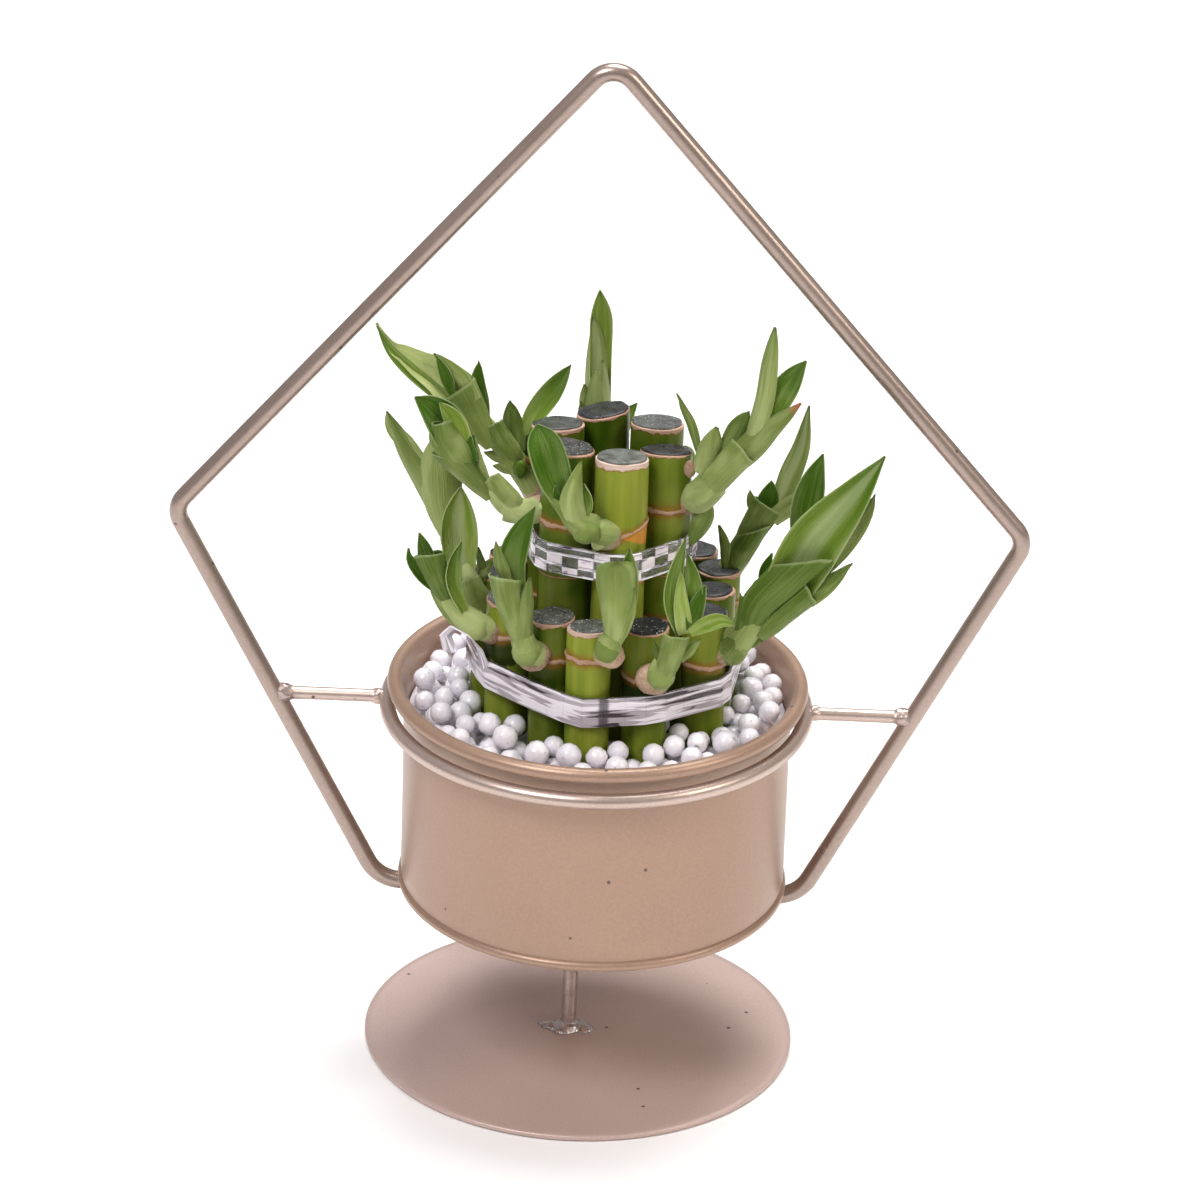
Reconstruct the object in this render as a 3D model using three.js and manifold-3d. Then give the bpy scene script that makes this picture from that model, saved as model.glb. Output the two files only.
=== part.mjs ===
// Lucky bamboo in a sheet-metal pot, held in a bent-rod stand.
//
// Two tiers of cane are tied by clear plastic bands and stand in a pot of pearly beads. The pot
// rests on the bottom run of a five-cornered loop of rod, inside a wire ring that steadies it.
// A short post joins the loop to a round base plate. Millimetres, +Z up, with the origin on the
// underside of the base plate, below the middle of the loop. The front of the plant faces -Y.

import * as THREE from 'three';
import { mergeVertices } from 'three/addons/utils/BufferGeometryUtils.js';
import Module from 'manifold-3d';

const wasm = await Module();
wasm.setup();

// ---------------------------------------------------------------- driving dimensions

const GAP = 0.3;                     // clearance where a piece is cut by its neighbour

const PLATE = { radius: 57.2, thickness: 1.4, x: -1.4, edge: 0.3, steps: 36 };

const ROD_RADIUS = 2.35;
const ROD_SIDES = 10;
const LOOP = {
  apexZ: 278.7,                      // corners of the rod's centre line, before the bends
  shoulderX: 110.2,
  shoulderZ: 150.8,
  footX: 55.8,
  runZ: 44.3,
  bend: 6.3,                         // bend radius at the apex and the shoulders
  footBend: 10,                      // bend radius at the two bottom corners
};

const POST = {
  radius: 2,
  footX: -4,
  topX: -3.4,
  rooted: 1,                         // how far the post starts inside its weld
  weld: [7.4, 5.9, 2.2],             // half width, half depth and height of the weld at its foot
};

const POT = {
  x: 1,
  bottomZ: 46.9,
  rimZ: 105.1,                       // middle of the rolled rim
  rimRadius: 53,
  rimRoll: 2,
  wallRadius: 50.7,
  wall: 0.9,
  beadRoll: 1.4,                     // the rolled bead round the bottom edge
  floorZ: 49.6,
  steps: 36,
};

const RING = {
  x: 0.7,
  z: 98.7,
  radius: 54.7,
  wire: 2.1,
  pin: 1.75,                         // radius of the two pins
  legWeld: { radius: 3.1, inset: 2.2 },
  ringWeld: { radius: 2.5, inset: 2.6 },
  weldFlat: 0.86,
};

const PLANT_X = 2.6;                 // the middle of the two tiers of cane

const INNER = {
  radius: 7,
  ring: 14.9,                        // from the plant's middle to each cane's middle
  angles: [-79, -19, 41, 101, 162, 222],
  tops: [176.6, 174.6, 175.8, 176.4, 176.6, 176.8],
  nodes: [157, 160.4, 158, 155, 161, 157.6],
};

const OUTER = {
  radius: 5.9,
  places: [                          // each cane's middle, anticlockwise from the front
    [-1, -30.2], [13.5, -26.8], [28.2, -16.8], [29.9, -3.5], [31.3, 9.9], [25.2, 21.2],
    [11.8, 26.5], [-1, 28.4], [-13.5, 22.9], [-23, 14], [-26.6, 1.2], [-22.6, -11.8],
    [-10.8, -22.6],
  ],
  tops: [136, 135, 135.2, 135, 134.8, 134.6, 134.4, 135.4, 134, 134.6, 135.6, 134.2, 134.8],
  nodes: [128.6, 122, 121.6, 124, 126.5, 123, 125, 124, 123.4, 125.4, 126.6, 125.6, 124.6],
};

const CANE_FOOT_Z = 60;              // the canes' cut lower ends, down in the beads
const NODE = { step: 31, rise: 0.35, below: 1.4, above: 1.2 };
const CUT_BEVEL = [0.3, 0.4];        // across and down, at a cane's cut top
const SEAL = { inset: 0.5, height: 0.7 };

const BANDS = {
  inner: { z: 145, height: 8 },
  outer: { z: 110.8, height: 8 },
  clearance: 0.72,
  thickness: 0.9,
  facetRise: 0.45,
  rows: 4,
  steps: 28,
};

const BEADS = {
  floorZ: 50,
  wallGap: 0.5,
  edgeZ: 103,                        // the bed's top at the wall
  middleZ: 105.4,                    // and at the canes
  smallest: 2.5,
  largest: 3.4,
  tries: 80,
  seed: 7,
  spacing: 0.94,                     // nearest middles, as a part of the two radii together
  caneSpacing: 0.8,
  rise: 0.35,                        // a bead's middle above the bed, as a part of its radius
  steps: 28,
};

const BLADE_THICKNESS = 0.7;
const BLADE_FOLD = 0.22;             // how far a blade's edges rise, as a part of its half width
const BLADE_SHAPE = [[0, 0.5], [0.28, 0.92], [0.56, 0.95], [0.82, 0.5], [1, 0.06]];
const SHEATH_SHAPE = [[0, 0.9, 0.9], [0.3, 1, 0.95], [1, 1, 0.75]];
const TOWARDS_VIEW = new THREE.Vector3(0, -0.9, 0.43);

// Along a blade: the place and its share of the width. Along a sheath: the place, its swelling
// and its flatness. A shoot has the middle line of its stem with its radius, the sheaths that
// wrap it, and its leaf blades, each with the point that it bows towards.
const SHOOTS = [
  {
    name: 'shoot_front_left',
    stem: [
      [2, -19.5, 157.5, 3.4],
      [-2, -24, 160, 3.8],
      [-6.5, -25.5, 163.5, 3.2],
      [-9.5, -25, 168, 2.4],
    ],
    sheaths: [
      { from: [-6, -25.5, 163.5], to: [-7.5, -26.5, 169.5], radii: [2.8, 3.6] },
    ],
    blades: [
      { base: [-3.5, -26.5, 163], bow: [-5.5, -28, 173], tip: [-5, -25.5, 180], width: 7.5 },
      { base: [-9.5, -25, 167], bow: [-15, -26, 178], tip: [-16.5, -21, 188], width: 10 },
      { base: [-4, -23.5, 163.5], bow: [-2.5, -23, 168], tip: [-4, -22, 172], width: 4 },
    ],
  },
  {
    name: 'shoot_left_high',
    stem: [
      [-16, 3, 158, 3.6],
      [-20.5, 2, 165, 3.2],
      [-25.5, 0, 172.5, 3.2],
      [-30.5, -1, 178.5, 3.2],
      [-35, -2, 184.5, 2.6],
    ],
    sheaths: [
      { from: [-26, 0, 173.5], to: [-36.5, -2, 187], radii: [3.2, 4.8] },
    ],
    blades: [
      { base: [-36, -2, 186.5], bow: [-46, -3.5, 192], tip: [-58.5, -4.5, 206.5], width: 9 },
      { base: [-34, -1, 185.5], bow: [-38, -1, 194], tip: [-45.5, -2, 198.5], width: 5.5 },
      { base: [-29.5, 0, 177.5], bow: [-30, -1, 188], tip: [-32.5, -1, 196], width: 4.2 },
      { base: [-23, 2, 169], bow: [-22.5, 2, 176], tip: [-24, 1, 184.5], width: 5.2 },
      { base: [-22, 4, 167], bow: [-19.5, 17, 175.5], tip: [-8.5, 15, 189], width: 7 },
      { base: [-22, 0, 164.5], bow: [-26, -1, 167], tip: [-30, -1, 171], width: 3.6 },
    ],
  },
  {
    name: 'shoot_left_mid',
    stem: [
      [-15, -9.5, 159, 3],
      [-21, -11, 160, 3.4],
      [-25.5, -12, 164.5, 3.8],
      [-31, -13, 170, 3.6],
      [-36.5, -13.5, 176.5, 3],
    ],
    sheaths: [
      { from: [-20.5, -11, 160], to: [-27.5, -12.5, 167.5], radii: [3.4, 4.6] },
      { from: [-28.5, -12.5, 167], to: [-40, -14, 183], radii: [3.4, 4.6] },
    ],
    blades: [
      { base: [-38.5, -14, 178], bow: [-41, -15, 186], tip: [-47.5, -14.5, 191], width: 7 },
      { base: [-35.5, -12.5, 176.5], bow: [-33, -12, 188.5], tip: [-42, -13, 189.5], width: 4.6 },
      { base: [-31, -12, 167.5], bow: [-30, -11.5, 173.5], tip: [-31.5, -11.5, 180.5], width: 3.6 },
    ],
  },
  {
    name: 'shoot_left_back',
    stem: [
      [-28.5, 12, 124.5, 3],
      [-33.5, 11, 126.5, 3.2],
      [-37.5, 10, 135, 3.2],
      [-40, 9, 143, 3],
    ],
    sheaths: [
      { from: [-37.5, 10, 135], to: [-40.5, 8.5, 146.5], radii: [3.2, 4.4] },
    ],
    blades: [
      { base: [-41, 8.5, 145], bow: [-49.5, 6.5, 162], tip: [-56, 5.5, 178], width: 8.6 },
      { base: [-39.5, 8, 144], bow: [-43, 6.5, 158.5], tip: [-42.5, 6, 173], width: 10 },
    ],
  },
  {
    name: 'shoot_left_tall',
    stem: [
      [-26.5, -2, 127.5, 3.2],
      [-31.5, -5, 131, 3.6],
      [-33, -6, 137.5, 3.4],
      [-34, -6, 144, 2.6],
    ],
    sheaths: [
      { from: [-30.5, -5, 130.5], to: [-33.5, -6, 139], radii: [3.4, 4] },
    ],
    blades: [
      { base: [-33.5, -6, 137], bow: [-38.5, -8, 153.5], tip: [-36, -7, 163], width: 9.6 },
      { base: [-31, -4, 132], bow: [-29.5, -4, 137], tip: [-29.5, -3.5, 141], width: 3.2 },
    ],
  },
  {
    name: 'shoot_left_low',
    stem: [
      [-25.5, -14, 125, 3.4],
      [-32, -17, 128, 3.6],
      [-37.5, -18, 134.5, 3.2],
      [-41, -18, 141, 3],
    ],
    sheaths: [
      { from: [-33.5, -17.5, 130.5], to: [-43, -18.5, 146.5], radii: [2.8, 4.4] },
    ],
    blades: [
      { base: [-42, -18, 142], bow: [-43.5, -18, 148.5], tip: [-45.5, -17.5, 155], width: 4.4 },
      { base: [-43.5, -19, 144], bow: [-47, -19, 146], tip: [-48, -19, 150.5], width: 3 },
      { base: [-36.5, -19.5, 135], bow: [-38.5, -20.5, 146], tip: [-34.5, -20, 154], width: 4.2 },
    ],
  },
  {
    name: 'shoot_front_low_left',
    stem: [
      [-13.5, -27, 125.5, 3.4],
      [-16, -29.5, 130, 4],
      [-18.5, -31, 138, 3.4],
      [-20.5, -31.5, 146, 3],
    ],
    sheaths: [
      { from: [-18.5, -31, 138.5], to: [-23, -32, 149.5], radii: [3.2, 4.2] },
    ],
    blades: [
      { base: [-20.5, -31, 147], bow: [-24, -31, 158.5], tip: [-15.5, -28, 167.5], width: 8.2 },
      { base: [-23.5, -32, 148.5], bow: [-25, -32.5, 155], tip: [-25.5, -32.5, 160], width: 3.2 },
    ],
  },
  {
    name: 'shoot_front',
    stem: [
      [3.5, -33.5, 130.5, 3.2],
      [4, -37, 134, 3.6],
      [5, -39, 141, 2.8],
      [5.5, -40, 148.5, 3],
    ],
    sheaths: [
      { from: [4.5, -37.5, 135.5], to: [5.5, -40.5, 154], radii: [2.8, 4.8] },
    ],
    blades: [
      { base: [5, -39, 141], bow: [6, -41, 153.5], tip: [4.5, -40, 159.5], width: 9.2 },
      { base: [7.5, -38.5, 142.5], bow: [9.5, -38.5, 152.5], tip: [9, -37.5, 162], width: 4.4 },
    ],
  },
  {
    name: 'shoot_front_right',
    stem: [
      [15.5, -31, 122, 3.4],
      [16.5, -34.5, 125, 4],
      [18.5, -37, 131.5, 3.2],
      [22, -38, 139, 2.8],
    ],
    sheaths: [
      { from: [18, -37, 131], to: [21.5, -38.5, 140], radii: [3, 4] },
    ],
    blades: [
      { base: [21, -38.5, 138.5], bow: [17.5, -39, 151], tip: [23, -37.5, 166], width: 5.4 },
      { base: [23.5, -37.5, 138.5], bow: [26.5, -37, 151], tip: [23, -36.5, 160], width: 5.2 },
      { base: [24.5, -37.5, 139.5], bow: [25, -37, 146.5], tip: [28, -36.5, 152], width: 3.8 },
      { base: [22.5, -39.5, 140], bow: [29.5, -41.5, 148], tip: [35.5, -42.5, 143.5], width: 4.4 },
    ],
  },
  {
    name: 'shoot_right_big',
    stem: [
      [31.5, -16.5, 123.5, 3.6],
      [36, -18.5, 127, 4.4],
      [41, -20.5, 136.5, 4.6],
      [46.5, -21.5, 145, 4.6],
      [51, -22, 150.5, 3.4],
    ],
    sheaths: [
      { from: [36, -18.5, 127], to: [39.5, -20, 139.5], radii: [4, 4.6] },
      { from: [39, -20.5, 134.5], to: [52.5, -22, 152.5], radii: [4.2, 7] },
    ],
    blades: [
      { base: [50.5, -22, 149], bow: [57, -23.5, 168], tip: [72, -23, 183.5], width: 13 },
      { base: [52.5, -20.5, 148.5], bow: [65, -20, 161], tip: [70, -20, 172], width: 8 },
      { base: [46, -21, 138], bow: [56, -22, 143], tip: [65, -22.5, 153.5], width: 6.2 },
      { base: [54, -20, 144], bow: [58, -19.5, 147.5], tip: [59.5, -19.5, 152], width: 3.4 },
      { base: [53.5, -19.5, 152], bow: [52.5, -17, 168], tip: [56.5, -15.5, 180.5], width: 8.8 },
      { base: [43, -20.5, 144], bow: [42.5, -20, 149], tip: [44.5, -20, 154], width: 4 },
    ],
  },
  {
    name: 'shoot_right_back',
    stem: [
      [32, 11.5, 131, 3.2],
      [35.5, 12.5, 135.5, 3.6],
      [40, 13.5, 144.5, 4],
      [43.5, 13.5, 152, 3],
    ],
    sheaths: [
      { from: [36, 12.5, 136.5], to: [43.5, 13.5, 152], radii: [3.6, 5.2] },
    ],
    blades: [
      { base: [43.5, 13.5, 150.5], bow: [49, 14, 164.5], tip: [52.5, 12.5, 181.5], width: 6.8 },
      { base: [40.5, 15, 147.5], bow: [39, 15, 151.5], tip: [38.5, 15, 155], width: 3.4 },
      { base: [45.5, 12, 151], bow: [50, 10.5, 153.5], tip: [54.5, 9.5, 159], width: 4.2 },
      { base: [33, 10.5, 134], bow: [34, 10, 141.5], tip: [30.5, 10, 147.5], width: 2.8 },
      { base: [42.5, 15.5, 150.5], bow: [43.5, 16, 154], tip: [44, 16, 157.5], width: 4.6 },
    ],
  },
  {
    name: 'shoot_right_high',
    stem: [
      [22, -6.5, 161.5, 3.6],
      [26, -8.5, 165, 4.2],
      [31, -10, 171.5, 4.4],
      [36, -10.5, 178, 4.4],
      [40.5, -11, 184, 3],
    ],
    sheaths: [
      { from: [25.5, -8.5, 164], to: [32, -10, 173.5], radii: [4, 5] },
      { from: [29.5, -10, 170], to: [38.5, -11, 180.5], radii: [4, 5.6] },
    ],
    blades: [
      { base: [40, -11, 182.5], bow: [40, -11, 197.5], tip: [43, -10, 212.5], width: 4.8 },
      { base: [40, -10.5, 183], bow: [45, -9, 194.5], tip: [51, -8.5, 203.5], width: 5.4 },
      { base: [38, -12, 181], bow: [44.5, -12.5, 187.5], tip: [50.5, -13, 193.5], width: 3.6 },
      { base: [28, -8.5, 171], bow: [24, -6, 183], tip: [18.5, -5, 190.5], width: 2.8 },
      { base: [28.5, -10, 172], bow: [27.5, -10.5, 179], tip: [29, -10.5, 185], width: 5.2 },
      { base: [34.5, -9.5, 177.5], bow: [32.5, -9.5, 186], tip: [37, -9, 188.5], width: 4.6 },
      { base: [26, -10, 162.5], bow: [29, -13, 158.5], tip: [23.5, -14, 152.5], width: 4.6 },
    ],
  },
  {
    name: 'shoot_back',
    stem: [
      [-2, 31, 124, 3.2],
      [-3, 35, 132, 3.6],
      [-3, 36, 150, 3.2],
      [-3, 34, 166, 3],
      [-2.5, 32.5, 178, 2.6],
    ],
    sheaths: [
      { from: [-3, 36, 136], to: [-3.5, 37, 156], radii: [3.4, 4.4] },
      { from: [-3, 35, 160], to: [-2.5, 32, 181], radii: [2.9, 3.2] },
    ],
    blades: [
      { base: [-2.5, 32.5, 178], bow: [-3, 33, 190], tip: [-3, 31, 203.5], width: 7 },
      { base: [-4, 35, 164], bow: [-8, 37, 172], tip: [-6, 35, 180], width: 3.6 },
      { base: [-4, 38, 148], bow: [-8, 46, 154], tip: [-12, 52, 152], width: 8 },
      { base: [0, 37, 154], bow: [5, 42, 162], tip: [8, 44, 166], width: 6 },
    ],
  },
  {
    name: 'shoot_back_right',
    stem: [
      [15, 30.5, 124, 3.2],
      [17.5, 35, 129, 3.8],
      [19, 38, 138, 3.4],
      [18, 39.5, 148, 2.6],
    ],
    sheaths: [
      { from: [18, 36, 131], to: [18.5, 40, 146], radii: [3.2, 4.4] },
    ],
    blades: [
      { base: [18, 39.5, 144], bow: [15, 44, 154], tip: [12, 44, 161], width: 8 },
      { base: [19, 39, 143], bow: [21.5, 44, 150], tip: [21, 49, 152], width: 6.4 },
    ],
  },
];

// ---------------------------------------------------------------- materials

const paint = new THREE.MeshStandardMaterial({ color: 0xb49a84, roughness: 0.36, metalness: 0.7 });
const weldMetal = new THREE.MeshStandardMaterial({ color: 0xa8a4a2, roughness: 0.3, metalness: 0.9 });
const pearl = new THREE.MeshStandardMaterial({ color: 0xe2dfe4, roughness: 0.3, metalness: 0 });
const caneSkin = new THREE.MeshStandardMaterial({ color: 0x7d9440, roughness: 0.4, metalness: 0 });
const wax = new THREE.MeshStandardMaterial({ color: 0x59625c, roughness: 0.3, metalness: 0 });
const leaf = new THREE.MeshStandardMaterial({ color: 0x5f8d33, roughness: 0.42, metalness: 0 });
const clearPlastic = new THREE.MeshStandardMaterial({
  color: 0xdcd8e0,
  roughness: 0.08,
  metalness: 0.3,
  transparent: true,
  opacity: 0.6,
});

// ---------------------------------------------------------------- solids

// A three.js geometry with its shared vertices merged, as a solid that can be joined and cut.
function toSolid(geometry) {
  const bare = new THREE.BufferGeometry();
  bare.setAttribute('position', geometry.getAttribute('position').clone());
  if (geometry.index) bare.setIndex(geometry.index.clone());
  const merged = mergeVertices(bare, 1e-4);
  return new wasm.Manifold(new wasm.Mesh({
    numProp: 3,
    vertProperties: new Float32Array(merged.getAttribute('position').array),
    triVerts: new Uint32Array(merged.index.array),
  }));
}

function toGeometry(solid) {
  const mesh = solid.getMesh();
  const geometry = new THREE.BufferGeometry();
  geometry.setAttribute('position', new THREE.BufferAttribute(mesh.vertProperties, mesh.numProp));
  geometry.setIndex(new THREE.BufferAttribute(mesh.triVerts, 1));
  geometry.computeVertexNormals();
  return geometry;
}

function join(solids) {
  return solids.reduce((all, next) => all.add(next));
}

// The largest piece of a cut solid: a loose scrap past the cut is dropped.
function largest(solid) {
  const pieces = solid.decompose();
  return pieces.reduce((best, next) => (next.volume() > best.volume() ? next : best));
}

// A solid skinned over rings of points, all with the same count. An open one gets flat ends.
function loft(rings, closed = false) {
  const count = rings[0].length;
  const points = rings.flat();
  const index = [];
  const last = closed ? rings.length : rings.length - 1;
  for (let i = 0; i < last; i += 1) {
    const here = i * count;
    const next = ((i + 1) % rings.length) * count;
    for (let j = 0; j < count; j += 1) {
      const k = (j + 1) % count;
      index.push(here + j, here + k, next + k);
      index.push(here + j, next + k, next + j);
    }
  }
  if (!closed) {
    const end = (rings.length - 1) * count;
    for (let j = 1; j < count - 1; j += 1) {
      index.push(0, j + 1, j);
      index.push(end, end + j, end + j + 1);
    }
  }
  const geometry = new THREE.BufferGeometry().setFromPoints(points);
  geometry.setIndex(index);
  return toSolid(geometry);
}

// The two directions across a stretch that runs along a tangent: its side and its face.
function across(tangent, towards) {
  const side = new THREE.Vector3().crossVectors(towards, tangent).normalize();
  const face = new THREE.Vector3().crossVectors(tangent, side).normalize();
  return { side, face };
}

function circleRing(centre, side, face, radius, sides, flat = 1) {
  const ring = [];
  for (let j = 0; j < sides; j += 1) {
    const angle = ((j + 0.5) / sides) * Math.PI * 2;
    ring.push(centre.clone()
      .addScaledVector(side, Math.cos(angle) * radius)
      .addScaledVector(face, Math.sin(angle) * radius * flat));
  }
  return ring;
}

function upright(radius, sides, fromZ, toZ, x = 0, y = 0) {
  const geometry = new THREE.CylinderGeometry(radius, radius, toZ - fromZ, sides);
  geometry.rotateX(Math.PI / 2);
  geometry.translate(x, y, (fromZ + toZ) / 2);
  return geometry;
}

// A turned piece: a profile of [radius, z] points spun round the Z axis, given anticlockwise.
function turned(profile, steps, x = 0) {
  const points = profile.map(([radius, z]) => new THREE.Vector2(radius, z));
  const geometry = new THREE.LatheGeometry(points, steps);
  geometry.rotateX(Math.PI / 2);
  geometry.translate(x, 0, 0);
  return geometry;
}

// ---------------------------------------------------------------- the stand

function makePlate() {
  const { radius, thickness, edge, steps, x } = PLATE;
  return turned([
    [0, 0], [radius - edge, 0], [radius, edge], [radius, thickness - edge],
    [radius - edge, thickness], [0, thickness],
  ], steps, x);
}

// Points along the loop's centre line, with each corner rounded by an arc.
function loopPath() {
  const corners = [
    [0, LOOP.apexZ, LOOP.bend],
    [LOOP.shoulderX, LOOP.shoulderZ, LOOP.bend],
    [LOOP.footX, LOOP.runZ, LOOP.footBend],
    [-LOOP.footX, LOOP.runZ, LOOP.footBend],
    [-LOOP.shoulderX, LOOP.shoulderZ, LOOP.bend],
  ].map(([x, z, bend]) => ({ at: new THREE.Vector2(x, z), bend }));
  const arcSteps = 4;
  const path = [];
  corners.forEach(({ at, bend }, i) => {
    const before = corners[(i + corners.length - 1) % corners.length].at.clone().sub(at).normalize();
    const after = corners[(i + 1) % corners.length].at.clone().sub(at).normalize();
    const half = Math.acos(before.dot(after)) / 2;
    const middle = before.clone().add(after).normalize().multiplyScalar(bend / Math.sin(half));
    const centre = at.clone().add(middle);
    const start = at.clone().addScaledVector(before, bend / Math.tan(half)).sub(centre);
    const turn = Math.PI - 2 * half;
    for (let k = 0; k <= arcSteps; k += 1) {
      const point = start.clone().rotateAround(new THREE.Vector2(), (-turn * k) / arcSteps);
      path.push(point.add(centre));
    }
  });
  return path.map((point) => new THREE.Vector3(point.x, 0, point.y));
}

function makeLoop(radius) {
  const path = loopPath();
  const depth = new THREE.Vector3(0, 1, 0);
  const rings = path.map((point, i) => {
    const before = path[(i + path.length - 1) % path.length];
    const after = path[(i + 1) % path.length];
    const inward = point.clone().sub(before).normalize();
    const outward = after.clone().sub(point).normalize();
    const tangent = inward.add(outward).normalize();
    const side = new THREE.Vector3().crossVectors(depth, tangent);
    return circleRing(point, side, depth, radius, ROD_SIDES);
  });
  return loft(rings, true);
}

function makePost(loopCutter) {
  const foot = new THREE.Vector3(POST.footX, 0, PLATE.thickness - POST.rooted);
  const head = new THREE.Vector3(POST.topX, 0, LOOP.runZ);
  const tangent = head.clone().sub(foot).normalize();
  const { side, face } = across(tangent, new THREE.Vector3(0, -1, 0));
  const rod = loft([foot, head].map((at) => circleRing(at, side, face, POST.radius, 12)));
  const dome = new THREE.SphereGeometry(1, 14, 8);
  dome.scale(...POST.weld);
  dome.translate(POST.footX, 0, PLATE.thickness);
  const below = new THREE.BoxGeometry(4 * POST.weld[0], 4 * POST.weld[0], 2 * POST.weld[0]);
  below.translate(POST.footX, 0, PLATE.thickness - POST.weld[0]);
  return largest(rod.add(toSolid(dome)).subtract(toSolid(below)).subtract(loopCutter));
}

// The wire ring with the two short pins that are welded between it and the legs of the loop. The
// welds' blobs lie along the pin, just inside its two ends.
function makeRing(loopCutter) {
  const torus = new THREE.TorusGeometry(RING.radius, RING.wire, 8, 36);
  torus.translate(RING.x, 0, RING.z);
  const parts = [toSolid(torus)];
  const legX = LOOP.footX + ((LOOP.shoulderX - LOOP.footX) * (RING.z - LOOP.runZ))
    / (LOOP.shoulderZ - LOOP.runZ);
  for (const way of [-1, 1]) {
    const fromX = RING.x + way * RING.radius;
    const toX = way * legX;
    const pin = new THREE.CylinderGeometry(RING.pin, RING.pin, Math.abs(toX - fromX), 10);
    pin.rotateZ(Math.PI / 2);
    pin.translate((fromX + toX) / 2, 0, RING.z);
    parts.push(toSolid(pin));
    for (const [weld, x] of [[RING.legWeld, toX], [RING.ringWeld, fromX]]) {
      const blob = new THREE.IcosahedronGeometry(weld.radius, 1);
      const inwards = x === toX ? -way : way;
      blob.scale(1, RING.weldFlat, RING.weldFlat);
      blob.translate(x + inwards * weld.inset, 0, RING.z);
      parts.push(toSolid(blob));
    }
  }
  return largest(join(parts).subtract(loopCutter));
}

// ---------------------------------------------------------------- the pot and its beads

function makePot() {
  const { rimZ, rimRadius, rimRoll, wallRadius, wall, beadRoll, bottomZ, floorZ } = POT;
  const inner = wallRadius - wall;
  const profile = [[0, floorZ - wall], [inner - 1, floorZ - wall], [inner - 0.2, bottomZ + 0.4]];
  const beadMiddle = wallRadius - beadRoll * 0.45;
  for (let k = 0; k <= 4; k += 1) {
    const angle = -Math.PI / 2 + (k / 4) * Math.PI * 0.9;
    profile.push([
      beadMiddle + Math.cos(angle) * beadRoll,
      bottomZ + beadRoll + Math.sin(angle) * beadRoll,
    ]);
  }
  profile.push([wallRadius, bottomZ + 2 * beadRoll + 0.5]);
  profile.push([wallRadius, rimZ - rimRoll - 0.4]);
  for (let k = 0; k <= 5; k += 1) {
    const angle = -Math.PI * 0.6 + (k / 5) * Math.PI * 1.6;
    profile.push([rimRadius + Math.cos(angle) * rimRoll, rimZ + Math.sin(angle) * rimRoll]);
  }
  profile.push([inner, rimZ - rimRoll * 0.6], [inner, floorZ], [0, floorZ]);
  return turned(profile, POT.steps, POT.x);
}

// A small seeded generator, so that the beads fall in the same places each time.
function seeded(seed) {
  let state = seed;
  return () => {
    state = (state * 1664525 + 1013904223) % 4294967296;
    return state / 4294967296;
  };
}

// Beads are dropped at random on the bed, and one that would crowd another or a cane is left out.
function bedBeads(canes, innerRadius) {
  const random = seeded(BEADS.seed);
  const placed = [];
  for (let i = 0; i < BEADS.tries; i += 1) {
    const radius = BEADS.smallest + random() * (BEADS.largest - BEADS.smallest);
    const reach = (innerRadius - radius - 0.2) * Math.sqrt(random());
    const angle = random() * Math.PI * 2;
    const turn = random() * Math.PI;
    const x = POT.x + Math.cos(angle) * reach;
    const y = Math.sin(angle) * reach;
    const crowded = placed.some((bead) => (
      Math.hypot(bead.x - x, bead.y - y) < BEADS.spacing * (bead.radius + radius)))
      || canes.some((cane) => (
        Math.hypot(cane.x - x, cane.y - y) < cane.radius + BEADS.caneSpacing * radius));
    if (!crowded) placed.push({ x, y, radius, turn, reach });
  }
  return placed.map(({ x, y, radius, turn, reach }) => {
    const bead = new THREE.IcosahedronGeometry(radius, 0);
    bead.rotateZ(turn);
    bead.rotateX(turn * 2);
    const slope = (BEADS.middleZ - BEADS.edgeZ) * (1 - reach / innerRadius);
    bead.translate(x, y, BEADS.edgeZ + slope + radius * BEADS.rise);
    return toSolid(bead);
  });
}

function makeBeadBed(canes, caneHoles) {
  const radius = POT.wallRadius - POT.wall - BEADS.wallGap;
  const bed = turned([
    [0, BEADS.floorZ], [radius, BEADS.floorZ], [radius, BEADS.edgeZ],
    [radius * 0.6, BEADS.middleZ], [0, BEADS.middleZ],
  ], BEADS.steps, POT.x);
  return largest(join([toSolid(bed), ...bedBeads(canes, radius)]).subtract(caneHoles));
}

// ---------------------------------------------------------------- canes, seals and bands

const canes = [
  ...INNER.angles.map((degrees, i) => {
    const angle = THREE.MathUtils.degToRad(degrees);
    return {
      name: `cane_inner_${i + 1}`,
      tier: 'inner',
      x: PLANT_X + Math.cos(angle) * INNER.ring,
      y: Math.sin(angle) * INNER.ring,
      radius: INNER.radius,
      top: INNER.tops[i],
      node: INNER.nodes[i],
      sides: 11,
    };
  }),
  ...OUTER.places.map(([x, y], i) => ({
    name: `cane_outer_${i + 1}`,
    tier: 'outer',
    x,
    y,
    radius: OUTER.radius,
    top: OUTER.tops[i],
    node: OUTER.nodes[i],
    sides: 10,
  })),
];

// A cane is round, with a low ridge at each node and a slightly bevelled cut at the top.
function makeCane({ x, y, radius, top, node, sides }) {
  const profile = [[0, CANE_FOOT_Z + GAP], [radius, CANE_FOOT_Z + GAP]];
  const nodes = [];
  for (let z = node; z > BEADS.edgeZ; z -= NODE.step) nodes.unshift(z);
  for (const z of nodes) {
    profile.push([radius, z - NODE.below], [radius + NODE.rise, z], [radius, z + NODE.above]);
  }
  profile.push([radius, top - CUT_BEVEL[1]], [radius - CUT_BEVEL[0], top], [0, top]);
  const geometry = turned(profile, sides);
  geometry.translate(x, y, 0);
  return geometry;
}

function makeSeal({ x, y, radius, top, sides }) {
  return upright(radius - SEAL.inset, sides, top, top + SEAL.height, x, y);
}

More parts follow.
